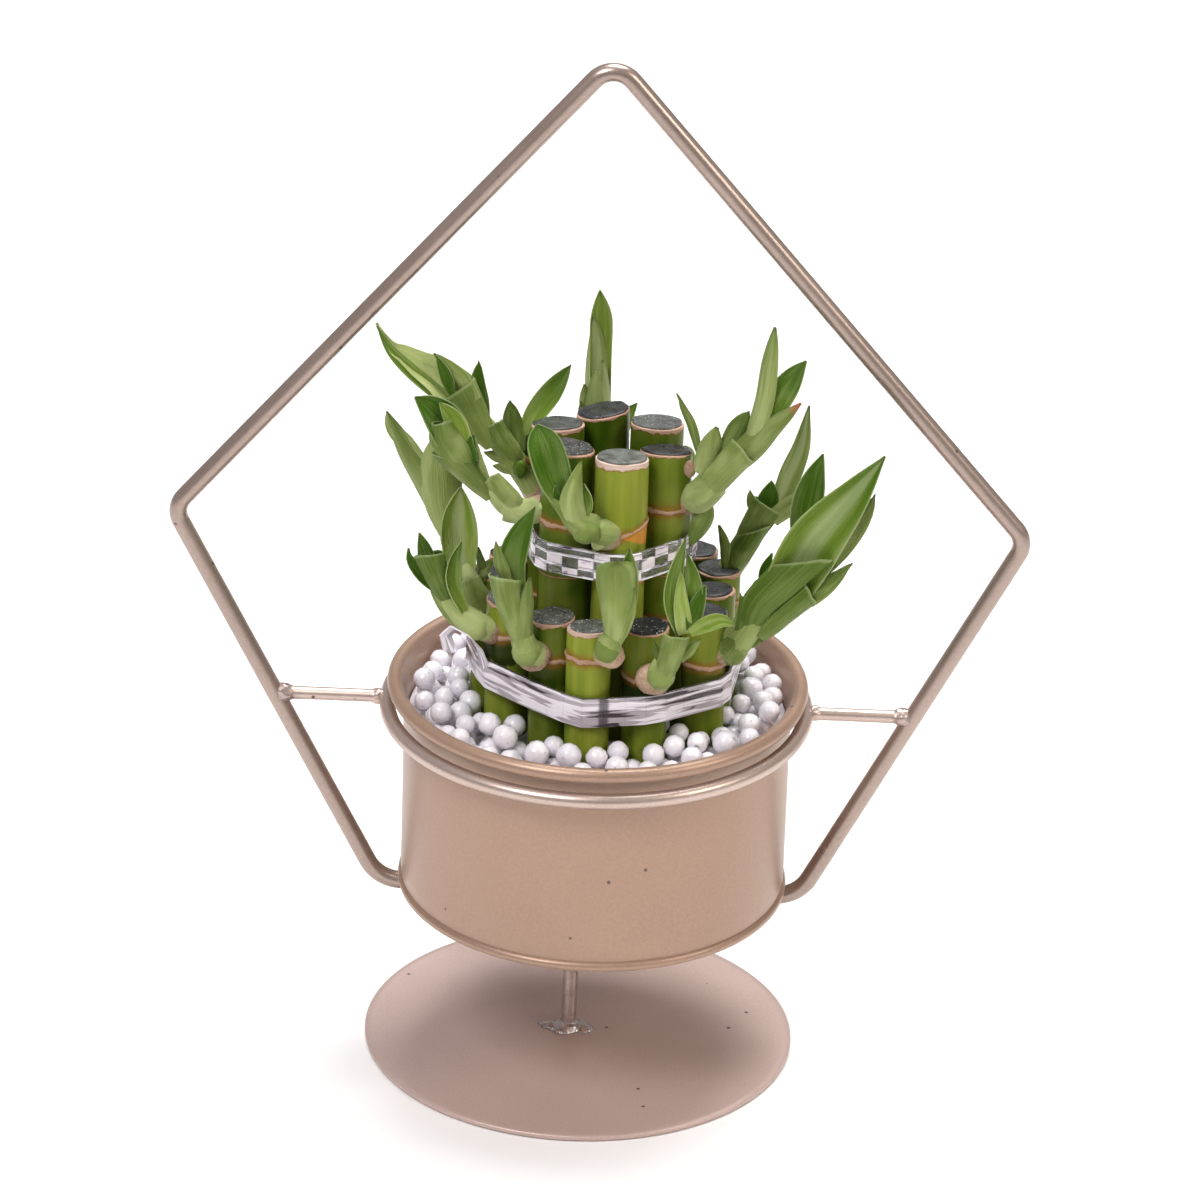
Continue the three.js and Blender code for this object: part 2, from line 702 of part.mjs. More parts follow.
// The space that a cane keeps clear for what is cut round it.
function caneSpace({ x, y, radius, sides }, fromZ, toZ, clearance) {
  const around = (radius + clearance) / Math.cos(Math.PI / sides);
  return toSolid(upright(around, sides, fromZ, toZ, x, y));
}

// The outline that a taut strap takes round a group of canes: their convex hull.
function hullPoint(group, angle, offset) {
  const ahead = new THREE.Vector2(Math.cos(angle), Math.sin(angle));
  const reach = (cane) => cane.x * ahead.x + cane.y * ahead.y + cane.radius;
  const outermost = group.reduce((best, cane) => (reach(cane) > reach(best) ? cane : best));
  const distance = outermost.radius + offset;
  return new THREE.Vector3(outermost.x + ahead.x * distance, outermost.y + ahead.y * distance, 0);
}

// A clear strap: a closed loop of a flat section, with rows of facets along its outer face.
function makeBand(group, { z, height }) {
  const rings = [];
  for (let i = 0; i < BANDS.steps; i += 1) {
    const angle = (i / BANDS.steps) * Math.PI * 2;
    const ring = [hullPoint(group, angle, BANDS.clearance).setZ(z + height)];
    ring.push(hullPoint(group, angle, BANDS.clearance).setZ(z));
    for (let k = 0; k <= 2 * BANDS.rows; k += 1) {
      const rise = k % 2 === 1 ? BANDS.facetRise : 0;
      const level = z + (height * k) / (2 * BANDS.rows);
      const offset = BANDS.clearance + BANDS.thickness + rise;
      ring.push(hullPoint(group, angle, offset).setZ(level));
    }
    rings.push(ring);
  }
  return loft(rings.reverse(), true);
}

// ---------------------------------------------------------------- shoots

const vector = ([x, y, z]) => new THREE.Vector3(x, y, z);

function makeStem(points) {
  const middles = points.map(vector);
  const rings = middles.map((middle, i) => {
    const before = middles[Math.max(i - 1, 0)];
    const after = middles[Math.min(i + 1, middles.length - 1)];
    const { side, face } = across(after.clone().sub(before).normalize(), TOWARDS_VIEW);
    return circleRing(middle, side, face, points[i][3], 6);
  });
  return loft(rings);
}

function makeSheath({ from, to, radii }) {
  const start = vector(from);
  const end = vector(to);
  const { side, face } = across(end.clone().sub(start).normalize(), TOWARDS_VIEW);
  const rings = SHEATH_SHAPE.map(([along, swell, flat]) => {
    const radius = THREE.MathUtils.lerp(radii[0], radii[1], along) * swell;
    return circleRing(start.clone().lerp(end, along), side, face, radius, 6, flat);
  });
  return loft(rings);
}

// A blade follows a bowed line. It is folded along its rib, widest before the middle, and
// pointed. Both faces have the same points across, so that they split alike.
function makeBlade({ base, bow, tip, width }) {
  const line = new THREE.QuadraticBezierCurve3(vector(base), vector(bow), vector(tip));
  const t = BLADE_THICKNESS / 2;
  const rings = BLADE_SHAPE.map(([along, share]) => {
    const middle = line.getPoint(along);
    const { side, face } = across(line.getTangent(along), TOWARDS_VIEW);
    const half = (width / 2) * share;
    const edgeRise = half * BLADE_FOLD;
    const place = (sideways, rise) => middle.clone()
      .addScaledVector(side, sideways)
      .addScaledVector(face, rise);
    return [
      place(-half, edgeRise - t), place(0, -t), place(half, edgeRise - t),
      place(half, edgeRise + t), place(0, t), place(-half, edgeRise + t),
    ];
  });
  return loft(rings);
}

function makeShoot({ stem, sheaths, blades }, spaces) {
  const parts = [makeStem(stem), ...sheaths.map(makeSheath), ...blades.map(makeBlade)];
  return largest(join(parts).subtract(spaces));
}

// ---------------------------------------------------------------- assembly

const plant = new THREE.Group();

function addPiece(group, name, shape, material) {
  const geometry = shape instanceof THREE.BufferGeometry ? shape : toGeometry(shape);
  const piece = new THREE.Mesh(geometry, material);
  piece.name = name;
  group.add(piece);
  return piece;
}

const stand = new THREE.Group();
const loopCutter = makeLoop((ROD_RADIUS + GAP) / Math.cos(Math.PI / ROD_SIDES));
addPiece(stand, 'base_plate', makePlate(), paint);
addPiece(stand, 'frame_rod', makeLoop(ROD_RADIUS), paint);
addPiece(stand, 'post', makePost(loopCutter), weldMetal);
addPiece(stand, 'holder_ring', makeRing(loopCutter), paint);
plant.add(stand);

const innerCanes = canes.filter((cane) => cane.tier === 'inner');
const caneHoles = join(canes.map((cane) => caneSpace(cane, CANE_FOOT_Z, cane.top, GAP)));
const caneSpaces = join(canes.map((cane) => (
  caneSpace(cane, CANE_FOOT_Z, cane.top + SEAL.height + GAP, NODE.rise + GAP))));
addPiece(plant, 'pot', makePot(), paint);
addPiece(plant, 'bead_bed', makeBeadBed(canes, caneHoles), pearl);

for (const cane of canes) {
  addPiece(plant, cane.name, makeCane(cane), caneSkin);
  addPiece(plant, cane.name.replace('cane', 'seal'), makeSeal(cane), wax);
}
addPiece(plant, 'band_inner', makeBand(innerCanes, BANDS.inner), clearPlastic);
addPiece(plant, 'band_outer', makeBand(canes, BANDS.outer), clearPlastic);

for (const shoot of SHOOTS) {
  addPiece(plant, shoot.name, makeShoot(shoot, caneSpaces), leaf);
}

export default plant;
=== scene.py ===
# %% [markdown]
# # Lucky bamboo in a rod stand
#
# Two tiers of cut canes, tied by clear faceted straps, stand in pearly beads in a painted metal
# pot. The pot hangs in a kite-shaped loop of rod on a round base plate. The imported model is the
# fixed frame, and each piece here is a finer one in the place of a node of that frame.

# %% Load the frame
import math
import random

import bpy
import numpy as np
from mathutils import Matrix, Vector, noise


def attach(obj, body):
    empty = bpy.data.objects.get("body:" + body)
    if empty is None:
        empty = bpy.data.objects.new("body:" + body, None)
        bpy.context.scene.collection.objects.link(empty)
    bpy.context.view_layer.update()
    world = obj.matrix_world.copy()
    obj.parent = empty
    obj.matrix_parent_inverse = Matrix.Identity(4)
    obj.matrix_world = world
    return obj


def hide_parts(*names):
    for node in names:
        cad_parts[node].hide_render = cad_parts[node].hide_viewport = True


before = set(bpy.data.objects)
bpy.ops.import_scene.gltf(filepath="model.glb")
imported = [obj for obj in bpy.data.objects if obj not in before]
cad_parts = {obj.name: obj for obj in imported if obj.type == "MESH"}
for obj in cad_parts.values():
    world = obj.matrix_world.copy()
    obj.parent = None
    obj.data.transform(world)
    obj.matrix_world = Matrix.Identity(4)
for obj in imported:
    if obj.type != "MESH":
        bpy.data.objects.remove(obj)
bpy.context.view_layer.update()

MM = 0.001
print("frame nodes:", len(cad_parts))

# %% [markdown]
# ## The camera
#
# The photograph looks down on the plant at about 26 degrees, from far enough away that the rod
# loop hardly narrows towards its top. The camera comes first, because the leaves are placed by
# where they are seen: a pixel of the 1200 by 1200 photograph and a depth give one point in space.

# %% Camera
PHOTO_WIDTH = 1200
DISTANCE = 1600 * MM
HEIGHT_ANGLE = math.radians(25.77)
SIDE_ANGLE = math.radians(1.0)
ROLL = math.radians(1.89)
FOCAL_PIXELS = 6160.9
SENSOR_WIDTH = 36
TARGET = Vector((0.77, 0, 129.13)) * MM

back = Vector((
    math.sin(SIDE_ANGLE) * math.cos(HEIGHT_ANGLE),
    -math.cos(SIDE_ANGLE) * math.cos(HEIGHT_ANGLE),
    math.sin(HEIGHT_ANGLE),
))
camera_place = TARGET + back * DISTANCE
level_right = (-back).cross(Vector((0, 0, 1))).normalized()
level_up = level_right.cross(-back)
right = level_right * math.cos(ROLL) + level_up * math.sin(ROLL)
up = level_up * math.cos(ROLL) - level_right * math.sin(ROLL)

bpy.ops.object.camera_add()
camera = bpy.context.object
camera.name = "camera"
camera.matrix_world = Matrix.Translation(camera_place) @ Matrix((right, up, back)).transposed().to_4x4()
camera.data.sensor_width = SENSOR_WIDTH
camera.data.lens = FOCAL_PIXELS * SENSOR_WIDTH / PHOTO_WIDTH
bpy.context.scene.camera = camera


def seen(across, down, depth):
    """The point that the photograph shows at a pixel, at a depth of so many mm along Y."""
    half = PHOTO_WIDTH / 2
    ray = -back * FOCAL_PIXELS + right * (across - half) - up * (down - half)
    return camera_place + ray * ((depth * MM - camera_place.y) / ray.y)


print("camera stands at", tuple(round(c, 3) for c in camera_place))

# %% [markdown]
# ## Floor and light
#
# A pale floor that runs out of sight, a pale world, and soft boxes: a big one over the camera's
# left shoulder makes the long highlights on the rod, a weaker one stands at the right, and one
# overhead opens the shadows among the leaves.

# %% Floor, world and lights
FLOOR_SIZE = 6.0

bpy.ops.mesh.primitive_plane_add(size=FLOOR_SIZE, location=(0, 0, -0.0002))
floor = bpy.context.object
floor.name = "floor"
floor_paint = bpy.data.materials.new("floor_paint")
floor_paint.use_nodes = True
floor_shader = floor_paint.node_tree.nodes["Principled BSDF"]
floor_shader.inputs["Base Color"].default_value = (0.93, 0.925, 0.93, 1)
floor_shader.inputs["Roughness"].default_value = 0.7
floor.data.materials.append(floor_paint)

world = bpy.data.worlds.new("studio")
bpy.context.scene.world = world
world.use_nodes = True
world_nodes = world.node_tree.nodes
world_links = world.node_tree.links
sky = world_nodes["Background"]
sky_place = world_nodes.new("ShaderNodeTexCoord")
sky_split = world_nodes.new("ShaderNodeSeparateXYZ")
sky_ramp = world_nodes.new("ShaderNodeValToRGB")
sky_ramp.color_ramp.elements[0].position = 0.0
sky_ramp.color_ramp.elements[0].color = (0.62, 0.58, 0.57, 1)
sky_ramp.color_ramp.elements[1].position = 0.75
sky_ramp.color_ramp.elements[1].color = (1.0, 1.0, 1.0, 1)
world_links.new(sky_place.outputs["Generated"], sky_split.inputs[0])
world_links.new(sky_split.outputs["Z"], sky_ramp.inputs["Fac"])
world_links.new(sky_ramp.outputs["Color"], sky.inputs["Color"])
sky.inputs["Strength"].default_value = 0.36


def soft_box(name, place, size, power, colour):
    """A square area light that faces the pot."""
    bpy.ops.object.light_add(type="AREA", location=place)
    light = bpy.context.object
    light.name = name
    light.data.size = size
    light.data.energy = power
    light.data.color = colour
    aim = Vector((0, 0, 0.11)) - Vector(place)
    light.rotation_euler = aim.to_track_quat("-Z", "Y").to_euler()
    return light


soft_box("key_light", (-0.55, -0.80, 1.30), 0.55, 14, (1.0, 0.975, 0.985))
soft_box("side_light", (0.95, -0.45, 0.85), 0.45, 5, (1.0, 0.92, 0.80))
soft_box("top_light", (0.12, 0.40, 1.30), 0.7, 17, (1.0, 1.0, 1.0))
bpy.context.scene.view_settings.view_transform = "Standard"
print("floor and 3 soft boxes are in place")

# %% [markdown]
# ## Shared helpers
#
# Blender's operators act on what is selected, so every piece starts with nothing selected. A
# round piece is modelled as on a lathe: a ring of vertices is extruded along and resized, again
# and again. A bent rod is a ring that is extruded along its straights and spun round its bends.

# %% Selection and finishing helpers
def only(*pieces):
    """Leave edit mode and select just these pieces, the first one active."""
    if bpy.context.object is not None and bpy.context.object.mode != "OBJECT":
        bpy.ops.object.mode_set(mode="OBJECT")
    bpy.ops.object.select_all(action="DESELECT")
    for piece in pieces:
        piece.select_set(True)
    if pieces:
        bpy.context.view_layer.objects.active = pieces[0]


def begin(name):
    """Name the primitive that was just added, and put its place into its mesh."""
    piece = bpy.context.object
    piece.name = name
    piece.data.name = name
    bpy.ops.object.transform_apply(location=True, rotation=True, scale=True)
    return piece


def tidy_mesh(doubles=1e-6):
    """In edit mode: merge doubles, close holes and turn every face outwards."""
    bpy.ops.mesh.select_all(action="SELECT")
    bpy.ops.mesh.remove_doubles(threshold=doubles)
    bpy.ops.mesh.select_all(action="SELECT")
    bpy.ops.mesh.fill_holes(sides=0)
    bpy.ops.mesh.normals_make_consistent(inside=False)
    bpy.ops.object.mode_set(mode="OBJECT")


def smooth(piece, degrees=40):
    """Smooth shading, but for edges sharper than this angle."""
    only(piece)
    bpy.ops.object.shade_smooth_by_angle(angle=math.radians(degrees))


def thicken(piece, thickness):
    """Give a thin sheet its thickness in mm, on the side that its faces turn away from."""
    thick = piece.modifiers.new("thick", "SOLIDIFY")
    thick.thickness = thickness * MM
    thick.offset = -1
    only(piece)
    bpy.ops.object.modifier_apply(modifier="thick")


def join(name, *pieces):
    """Several meshes become one piece."""
    only(*pieces)
    if len(pieces) > 1:
        bpy.ops.object.join()
    piece = bpy.context.object
    piece.name = name
    piece.data.name = name
    return piece


def place(piece, slot, nodes, *finishes):
    """The piece gets its finishes, rides on the body and stands for its CAD nodes."""
    for finish in finishes:
        piece.data.materials.append(finish.material)
    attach(piece, "root")
    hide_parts(*nodes)
    print(piece.name, len(piece.data.polygons), "faces")


def paint_value(piece, name, values):
    """A number for each vertex, which a material can read by its name."""
    layer = piece.data.attributes.get(name) or piece.data.attributes.new(name, "FLOAT", "POINT")
    layer.data.foreach_set("value", np.asarray(values, np.float32))


def coordinates(piece):
    """The vertices of a piece as an array of rows."""
    flat = np.zeros(len(piece.data.vertices) * 3, np.float32)
    piece.data.vertices.foreach_get("co", flat)
    return flat.reshape(-1, 3)


print("helpers for selecting, finishing and placing are ready")

# %% Lathe and rod helpers
def turned(name, profile, sides, x=0.0, y=0.0):
    """A round piece: a ring is extruded and resized from one [radius, height] to the next."""
    only()
    first_radius, first_height = profile[0]
    bpy.ops.mesh.primitive_circle_add(
        vertices=sides, radius=first_radius * MM, location=(x * MM, y * MM, first_height * MM))
    piece = begin(name)
    bpy.ops.object.mode_set(mode="EDIT")
    bpy.ops.mesh.select_all(action="SELECT")
    for (radius, height), (next_radius, next_height) in zip(profile, profile[1:]):
        rise = (0, 0, (next_height - height) * MM)
        grow = next_radius / radius
        bpy.ops.mesh.extrude_region_move(TRANSFORM_OT_translate={"value": rise})
        bpy.ops.transform.resize(
            value=(grow, grow, 1), center_override=(x * MM, y * MM, next_height * MM))
    tidy_mesh()
    return piece


def start_rod(name, radius, sides, middle, direction):
    """The first ring of a rod, square to the way that the rod runs."""
    only()
    turn = Vector(direction).to_track_quat("Z", "Y").to_euler()
    bpy.ops.mesh.primitive_circle_add(
        vertices=sides, radius=radius * MM, location=Vector(middle) * MM, rotation=turn)
    piece = begin(name)
    bpy.ops.object.mode_set(mode="EDIT")
    bpy.ops.mesh.select_all(action="SELECT")
    return piece


def run_straight(move):
    """The rod goes on straight by this many mm."""
    step = tuple(Vector(move) * MM)
    bpy.ops.mesh.extrude_region_move(TRANSFORM_OT_translate={"value": step})


def run_bend(centre, axis, degrees, steps):
    """The rod is bent round an axis through a centre, in mm."""
    bpy.ops.mesh.spin(
        steps=steps, angle=math.radians(degrees), center=tuple(Vector(centre) * MM), axis=axis)


print("helpers for turned and bent pieces are ready")

# %% [markdown]
# ## Short ways to build a finish
#
# A finish is a tree of nodes that ends in the Principled shader. Each node is placed, linked and
# set by several lines, so those lines are written once, as methods: a sum of two values, a mask
# from a range, a mix of two colours. The finishes below then read like recipes.

# %% Node trees
class Nodes:
    """A node tree with short ways to add to it. A value is a socket, a number or a colour."""

    def __init__(self, tree):
        self.nodes = tree.nodes
        self.links = tree.links

    def set(self, socket, value):
        """Give an input a link, a number or a colour."""
        if isinstance(value, bpy.types.NodeSocket):
            self.links.new(value, socket)
        elif isinstance(value, tuple) and len(value) == 3:
            socket.default_value = (*value, 1)
        else:
            socket.default_value = value

    def number(self, name):
        """The number that a piece's mesh holds under this name."""
        node = self.nodes.new("ShaderNodeAttribute")
        node.attribute_name = name
        return node.outputs["Fac"]

    def at(self):
        """The place on the piece, in its own coordinates."""
        return self.nodes.new("ShaderNodeTexCoord").outputs["Object"]

    def joined(self, *parts):
        """Three values as one place."""
        node = self.nodes.new("ShaderNodeCombineXYZ")
        for socket, part in zip(node.inputs, parts):
            self.set(socket, part)
        return node.outputs[0]

    def noise(self, place, scale, detail, distortion=0.0):
        """Smooth noise from 0 to 1."""
        node = self.nodes.new("ShaderNodeTexNoise")
        self.set(node.inputs["Vector"], place)
        self.set(node.inputs["Scale"], scale)
        self.set(node.inputs["Detail"], float(detail))
        self.set(node.inputs["Distortion"], distortion)
        return node.outputs["Fac"]

    def sum(self, operation, first, second=0.0):
        node = self.nodes.new("ShaderNodeMath")
        node.operation = operation
        self.set(node.inputs[0], first)
        self.set(node.inputs[1], second)
        return node.outputs[0]

    def times(self, first, second):
        return self.sum("MULTIPLY", first, second)

    def plus(self, first, second):
        return self.sum("ADD", first, second)

    def minus(self, first, second):
        return self.sum("SUBTRACT", first, second)

    def unsigned(self, value):
        return self.sum("ABSOLUTE", value)

    def ramp(self, value, low, high, smooth_step=False):
        """A mask that runs from 0 at the low value to 1 at the high one."""
        node = self.nodes.new("ShaderNodeMapRange")
        node.interpolation_type = "SMOOTHSTEP" if smooth_step else "LINEAR"
        self.set(node.inputs["Value"], value)
        self.set(node.inputs["From Min"], low)
        self.set(node.inputs["From Max"], high)
        return node.outputs["Result"]

    def mix(self, mask, first, second):
        """The first colour where the mask is 0, the second where it is 1."""
        node = self.nodes.new("ShaderNodeMix")
        node.data_type = "RGBA"
        self.set(node.inputs[0], mask)
        self.set(node.inputs[6], first)
        self.set(node.inputs[7], second)
        return node.outputs[2]


print("node trees: values, noise, sums, ramps and mixes")


# %% Finishes and groups
class Finish(Nodes):
    """A material with its main shader."""

    def __init__(self, name):
        self.material = bpy.data.materials.new(name)
        self.material.use_nodes = True
        super().__init__(self.material.node_tree)
        self.shader = self.nodes["Principled BSDF"]

    def feed(self, **values):
        """Give the shader's inputs their values: Base_Color stands for Base Color."""
        for name, value in values.items():
            self.set(self.shader.inputs[name.replace("_", " ")], value)

    def bumps(self, height, distance, strength):
        """Small bumps from a height feed the shader's Normal."""
        node = self.nodes.new("ShaderNodeBump")
        self.set(node.inputs["Distance"], distance)
        self.set(node.inputs["Strength"], strength)
        self.set(node.inputs["Height"], height)
        self.feed(Normal=node.outputs["Normal"])

    def group(self, group, **values):
        """Place a node group, with its own values: Fine_Scale stands for Fine Scale."""
        node = self.nodes.new("ShaderNodeGroup")
        node.node_tree = group
        for name, value in values.items():
            self.set(node.inputs[name.replace("_", " ")], value)
        return node.outputs


def new_group(name, inputs, outputs):
    """A shader node group with named float inputs and outputs."""
    group = bpy.data.node_groups.new(name, "ShaderNodeTree")
    for label, value in inputs.items():
        socket = group.interface.new_socket(label, in_out="INPUT", socket_type="NodeSocketFloat")
        socket.default_value = value
    for label in outputs:
        group.interface.new_socket(label, in_out="OUTPUT", socket_type="NodeSocketFloat")
    inside = Nodes(group)
    start = inside.nodes.new("NodeGroupInput")
    end = inside.nodes.new("NodeGroupOutput")
    return group, inside, start.outputs, end.inputs


print("a finish feeds its shader and can hold shared groups")

# %% [markdown]
# ## The champagne paint
#
# The stand and the pot are sheet metal and rod, sprayed with a satin champagne paint with a fine
# metallic grain. Grain, mottling and dust are used by several finishes, so each is a node group:
# it puts out masks and a height, and each material mixes them with its own colours.

# %% Shared grain group
# A fine speckle, a broad mottling and a height, all on the piece's own coordinates.
grain_group, inside, given, result = new_group(
    "surface_grain", {"Fine Scale": 900.0, "Broad Scale": 40.0}, ["Fine", "Broad", "Height"])
fine_grain = inside.ramp(inside.noise(inside.at(), given["Fine Scale"], 3), 0.35, 0.65)
broad_grain = inside.ramp(inside.noise(inside.at(), given["Broad Scale"], 4), 0.3, 0.7)
inside.set(result["Fine"], fine_grain)
inside.set(result["Broad"], broad_grain)
inside.set(result["Height"], inside.plus(inside.times(fine_grain, 0.35), broad_grain))
print("grain group has", len(inside.nodes), "nodes")

# %% Shared fleck group
# Sparse specks: dust on paint, silver flakes and dark pits on beads, light specks on wax. Each cell
# of a pattern has a chance of holding one, and the speck is the part near the cell's middle.
fleck_group, inside, given, result = new_group("flecks", {"Scale": 400.0, "Amount": 0.1}, ["Mask"])
cells = inside.nodes.new("ShaderNodeTexVoronoi")
inside.set(cells.inputs["Vector"], inside.at())
inside.set(cells.inputs["Scale"], given["Scale"])
chance = inside.nodes.new("ShaderNodeSeparateColor")
inside.set(chance.inputs[0], cells.outputs["Color"])
chosen = inside.sum("LESS_THAN", chance.outputs[0], given["Amount"])
near_middle = inside.ramp(cells.outputs["Distance"], 0.42, 0.22)
inside.set(result["Mask"], inside.times(chosen, near_middle))
print("fleck group has", len(inside.nodes), "nodes")

# %% Champagne paint
GRAIN_RELIEF = 0.06 * MM


def champagne_paint(name, light, dark, roughness, metallic):
    """Metallic paint: a mottled colour with a fine bright grain and a few dark specks."""
    paint = Finish(name)
    grain = paint.group(grain_group, Fine_Scale=1500.0, Broad_Scale=26.0)
    specks = paint.group(fleck_group, Scale=640.0, Amount=0.0032)
    glint = tuple(min(1.0, channel * 1.25) for channel in light)
    colour = paint.mix(grain["Broad"], dark, light)
    colour = paint.mix(paint.times(grain["Fine"], 0.3), colour, glint)
    colour = paint.mix(specks["Mask"], colour, (0.10, 0.07, 0.06))
    rough = paint.plus(paint.times(paint.ramp(grain["Broad"], 0.0, 1.0), 0.07), roughness)
    paint.feed(Base_Color=colour, Metallic=metallic, Roughness=rough)
    paint.bumps(grain["Height"], GRAIN_RELIEF, 0.5)
    return paint


rod_paint = champagne_paint("rod_paint", (0.40, 0.31, 0.27), (0.32, 0.245, 0.21), 0.27, 0.7)
pot_paint = champagne_paint("pot_paint", (0.375, 0.245, 0.177), (0.337, 0.218, 0.157), 0.34, 0.35)
plate_paint = champagne_paint("plate_paint", (0.60, 0.455, 0.415), (0.54, 0.41, 0.37), 0.4, 0.35)
print("paints:", rod_paint.material.name, pot_paint.material.name, plate_paint.material.name)

# %% [markdown]
# ## The base plate
#
# A disc cut from sheet steel. It is turned: a ring grows from the middle of the underside, round
# the thin edge with its two small bevels, and back to the middle of the top.

# %% Base plate
PLATE_RADIUS = 57.2
PLATE_THICKNESS = 1.4
PLATE_X = -1.4
PLATE_EDGE = 0.3

plate_profile = [
    (1, 0), (PLATE_RADIUS * 0.6, 0), (PLATE_RADIUS - 2, 0), (PLATE_RADIUS - PLATE_EDGE, 0.02),
    (PLATE_RADIUS, PLATE_EDGE), (PLATE_RADIUS, PLATE_THICKNESS - PLATE_EDGE),
    (PLATE_RADIUS - PLATE_EDGE, PLATE_THICKNESS - 0.02), (PLATE_RADIUS - 2, PLATE_THICKNESS),
    (PLATE_RADIUS * 0.6, PLATE_THICKNESS), (1, PLATE_THICKNESS),
]
plate = turned("plate", plate_profile, 160, PLATE_X)
smooth(plate, 50)
place(plate, "painted_plate", ["base_plate"], plate_paint)

# %% [markdown]
# ## The rod loop
#
# One rod, bent in five places into a kite with a cut-off foot, and closed by a weld under the
# pot. A ring starts in the middle of the bottom run. It is extruded along each straight and spun
# round each bend, and the last ring meets the first.

# %% Rod loop
ROD_RADIUS = 2.35
APEX_Z = 278.7
SHOULDER_X = 110.2
SHOULDER_Z = 150.8
FOOT_X = 55.8
RUN_Z = 44.3
BEND = 6.3
FOOT_BEND = 10
ROD_SIDES = 24
BEND_STEPS = 10

corners = [
    (Vector((FOOT_X, 0, RUN_Z)), FOOT_BEND),
    (Vector((SHOULDER_X, 0, SHOULDER_Z)), BEND),
    (Vector((0, 0, APEX_Z)), BEND),
    (Vector((-SHOULDER_X, 0, SHOULDER_Z)), BEND),
    (Vector((-FOOT_X, 0, RUN_Z)), FOOT_BEND),
]
start = Vector((0, 0, RUN_Z))
here = start.copy()
loop = start_rod("kite_loop", ROD_RADIUS, ROD_SIDES, start, (1, 0, 0))
for i, (corner, bend) in enumerate(corners):
    onward = corners[i + 1][0] if i + 1 < len(corners) else start
    way_in = (corner - here).normalized()
    way_out = (onward - corner).normalized()
    turn = way_in.angle(way_out)
    setback = bend * math.tan(turn / 2)
    bend_start = corner - way_in * setback
    centre = bend_start + Vector((-way_in.z, 0, way_in.x)) * bend
    run_straight(bend_start - here)
    run_bend(centre, (0, 1, 0), math.degrees(turn), BEND_STEPS)
    here = corner + way_out * setback
run_straight(start - here)
tidy_mesh(1e-5)
smooth(loop, 60)
place(loop, "painted_rod", ["frame_rod"], rod_paint)
print("loop box:", [round(v * 1000, 1) for v in (*coordinates(loop).min(0), *coordinates(loop).max(0))])

# %% [markdown]
# ## The holder ring and its pins
#
# A wire ring goes round the pot under its rim, and a short pin on each side joins it to the loop.
# The ring is a torus. Each weld is a ball that is pushed about by noise and then fused with its
# pin by a voxel remesh, so the metal flows together as a real weld does; the ring is joined on after.

# %% Holder ring, pins and welds
RING_X = 0.7
RING_Z = 98.7
RING_RADIUS = 54.7
RING_WIRE = 2.1
PIN_RADIUS = 1.75
LEG_X = FOOT_X + (SHOULDER_X - FOOT_X) * (RING_Z - RUN_Z) / (SHOULDER_Z - RUN_Z)
PIN_SINK = 0.72                      # share of the rod's radius that the pin goes in
LEG_WELD = {"radius": 3.0, "inset": 0.8}
RING_WELD = {"radius": 2.45, "inset": 2.4}
WELD_FLAT = 0.84
WELD_LUMPS = {"amount": 0.45, "size": 1.6}
WELD_VOXEL = 0.32


def lumpy(piece, amount, size, seed):
    """Push the vertices of a piece in and out by smooth noise."""
    shift = Vector((seed * 3.1, seed * 1.7, seed * 0.9))
    for vertex in piece.data.vertices:
        push = noise.noise(vertex.co / (size * MM) + shift) * amount * MM
        vertex.co += vertex.normal * push


def weld_ball(name, x, radius, seed):
    """A lumpy ball of weld metal on the pin's line."""
    only()
    bpy.ops.mesh.primitive_ico_sphere_add(
        subdivisions=4, radius=radius * MM, location=(x * MM, 0, RING_Z * MM))
    ball = begin(name)
    bpy.ops.object.mode_set(mode="EDIT")
    bpy.ops.transform.resize(
        value=(1, WELD_FLAT, WELD_FLAT), center_override=(x * MM, 0, RING_Z * MM))
    bpy.ops.object.mode_set(mode="OBJECT")
    lumpy(ball, **WELD_LUMPS, seed=seed)
    return ball


def fuse(piece, voxel, rounds=3):
    """One closed skin over all that the piece holds, with its creases smoothed."""
    only(piece)
    remesh = piece.modifiers.new("fuse", "REMESH")
    remesh.mode = "VOXEL"
    remesh.voxel_size = voxel * MM
    bpy.ops.object.modifier_apply(modifier="fuse")
    relax = piece.modifiers.new("relax", "SMOOTH")
    relax.iterations = rounds
    bpy.ops.object.modifier_apply(modifier="relax")


print("weld metal is lumpy by", WELD_LUMPS["amount"], "mm")

# %% Welding the ring and pins together
WELD_START = 7                       # mm from the leg where the paint starts to be burnt
WELD_FADE = 3

only()
bpy.ops.mesh.primitive_torus_add(
    major_segments=192, minor_segments=20, major_radius=RING_RADIUS * MM,
    minor_radius=RING_WIRE * MM, location=(RING_X * MM, 0, RING_Z * MM))
ring = begin("ring")
pins = []
for side, seed in ((-1, 2), (1, 5)):
    ring_end = RING_X + side * RING_RADIUS
    leg_end = side * (LEG_X - ROD_RADIUS * PIN_SINK)
    only()
    bpy.ops.mesh.primitive_cylinder_add(
        vertices=24, radius=PIN_RADIUS * MM, depth=abs(leg_end - ring_end) * MM,
        location=((ring_end + leg_end) / 2 * MM, 0, RING_Z * MM),
        rotation=(0, math.radians(90), 0))
    pin = begin("pin")
    leg_weld = weld_ball("leg_weld", leg_end - side * LEG_WELD["inset"],
                         LEG_WELD["radius"], seed)
    ring_weld = weld_ball("ring_weld", ring_end + side * RING_WELD["inset"],
                          RING_WELD["radius"], seed + 1)
    pin = join("pin", pin, leg_weld, ring_weld)
    fuse(pin, WELD_VOXEL)
    pins.append(pin)
ring = join("ring", ring, *pins)
smooth(ring, 60)
weld_reach = np.abs(coordinates(ring)[:, 0] - RING_X * MM)
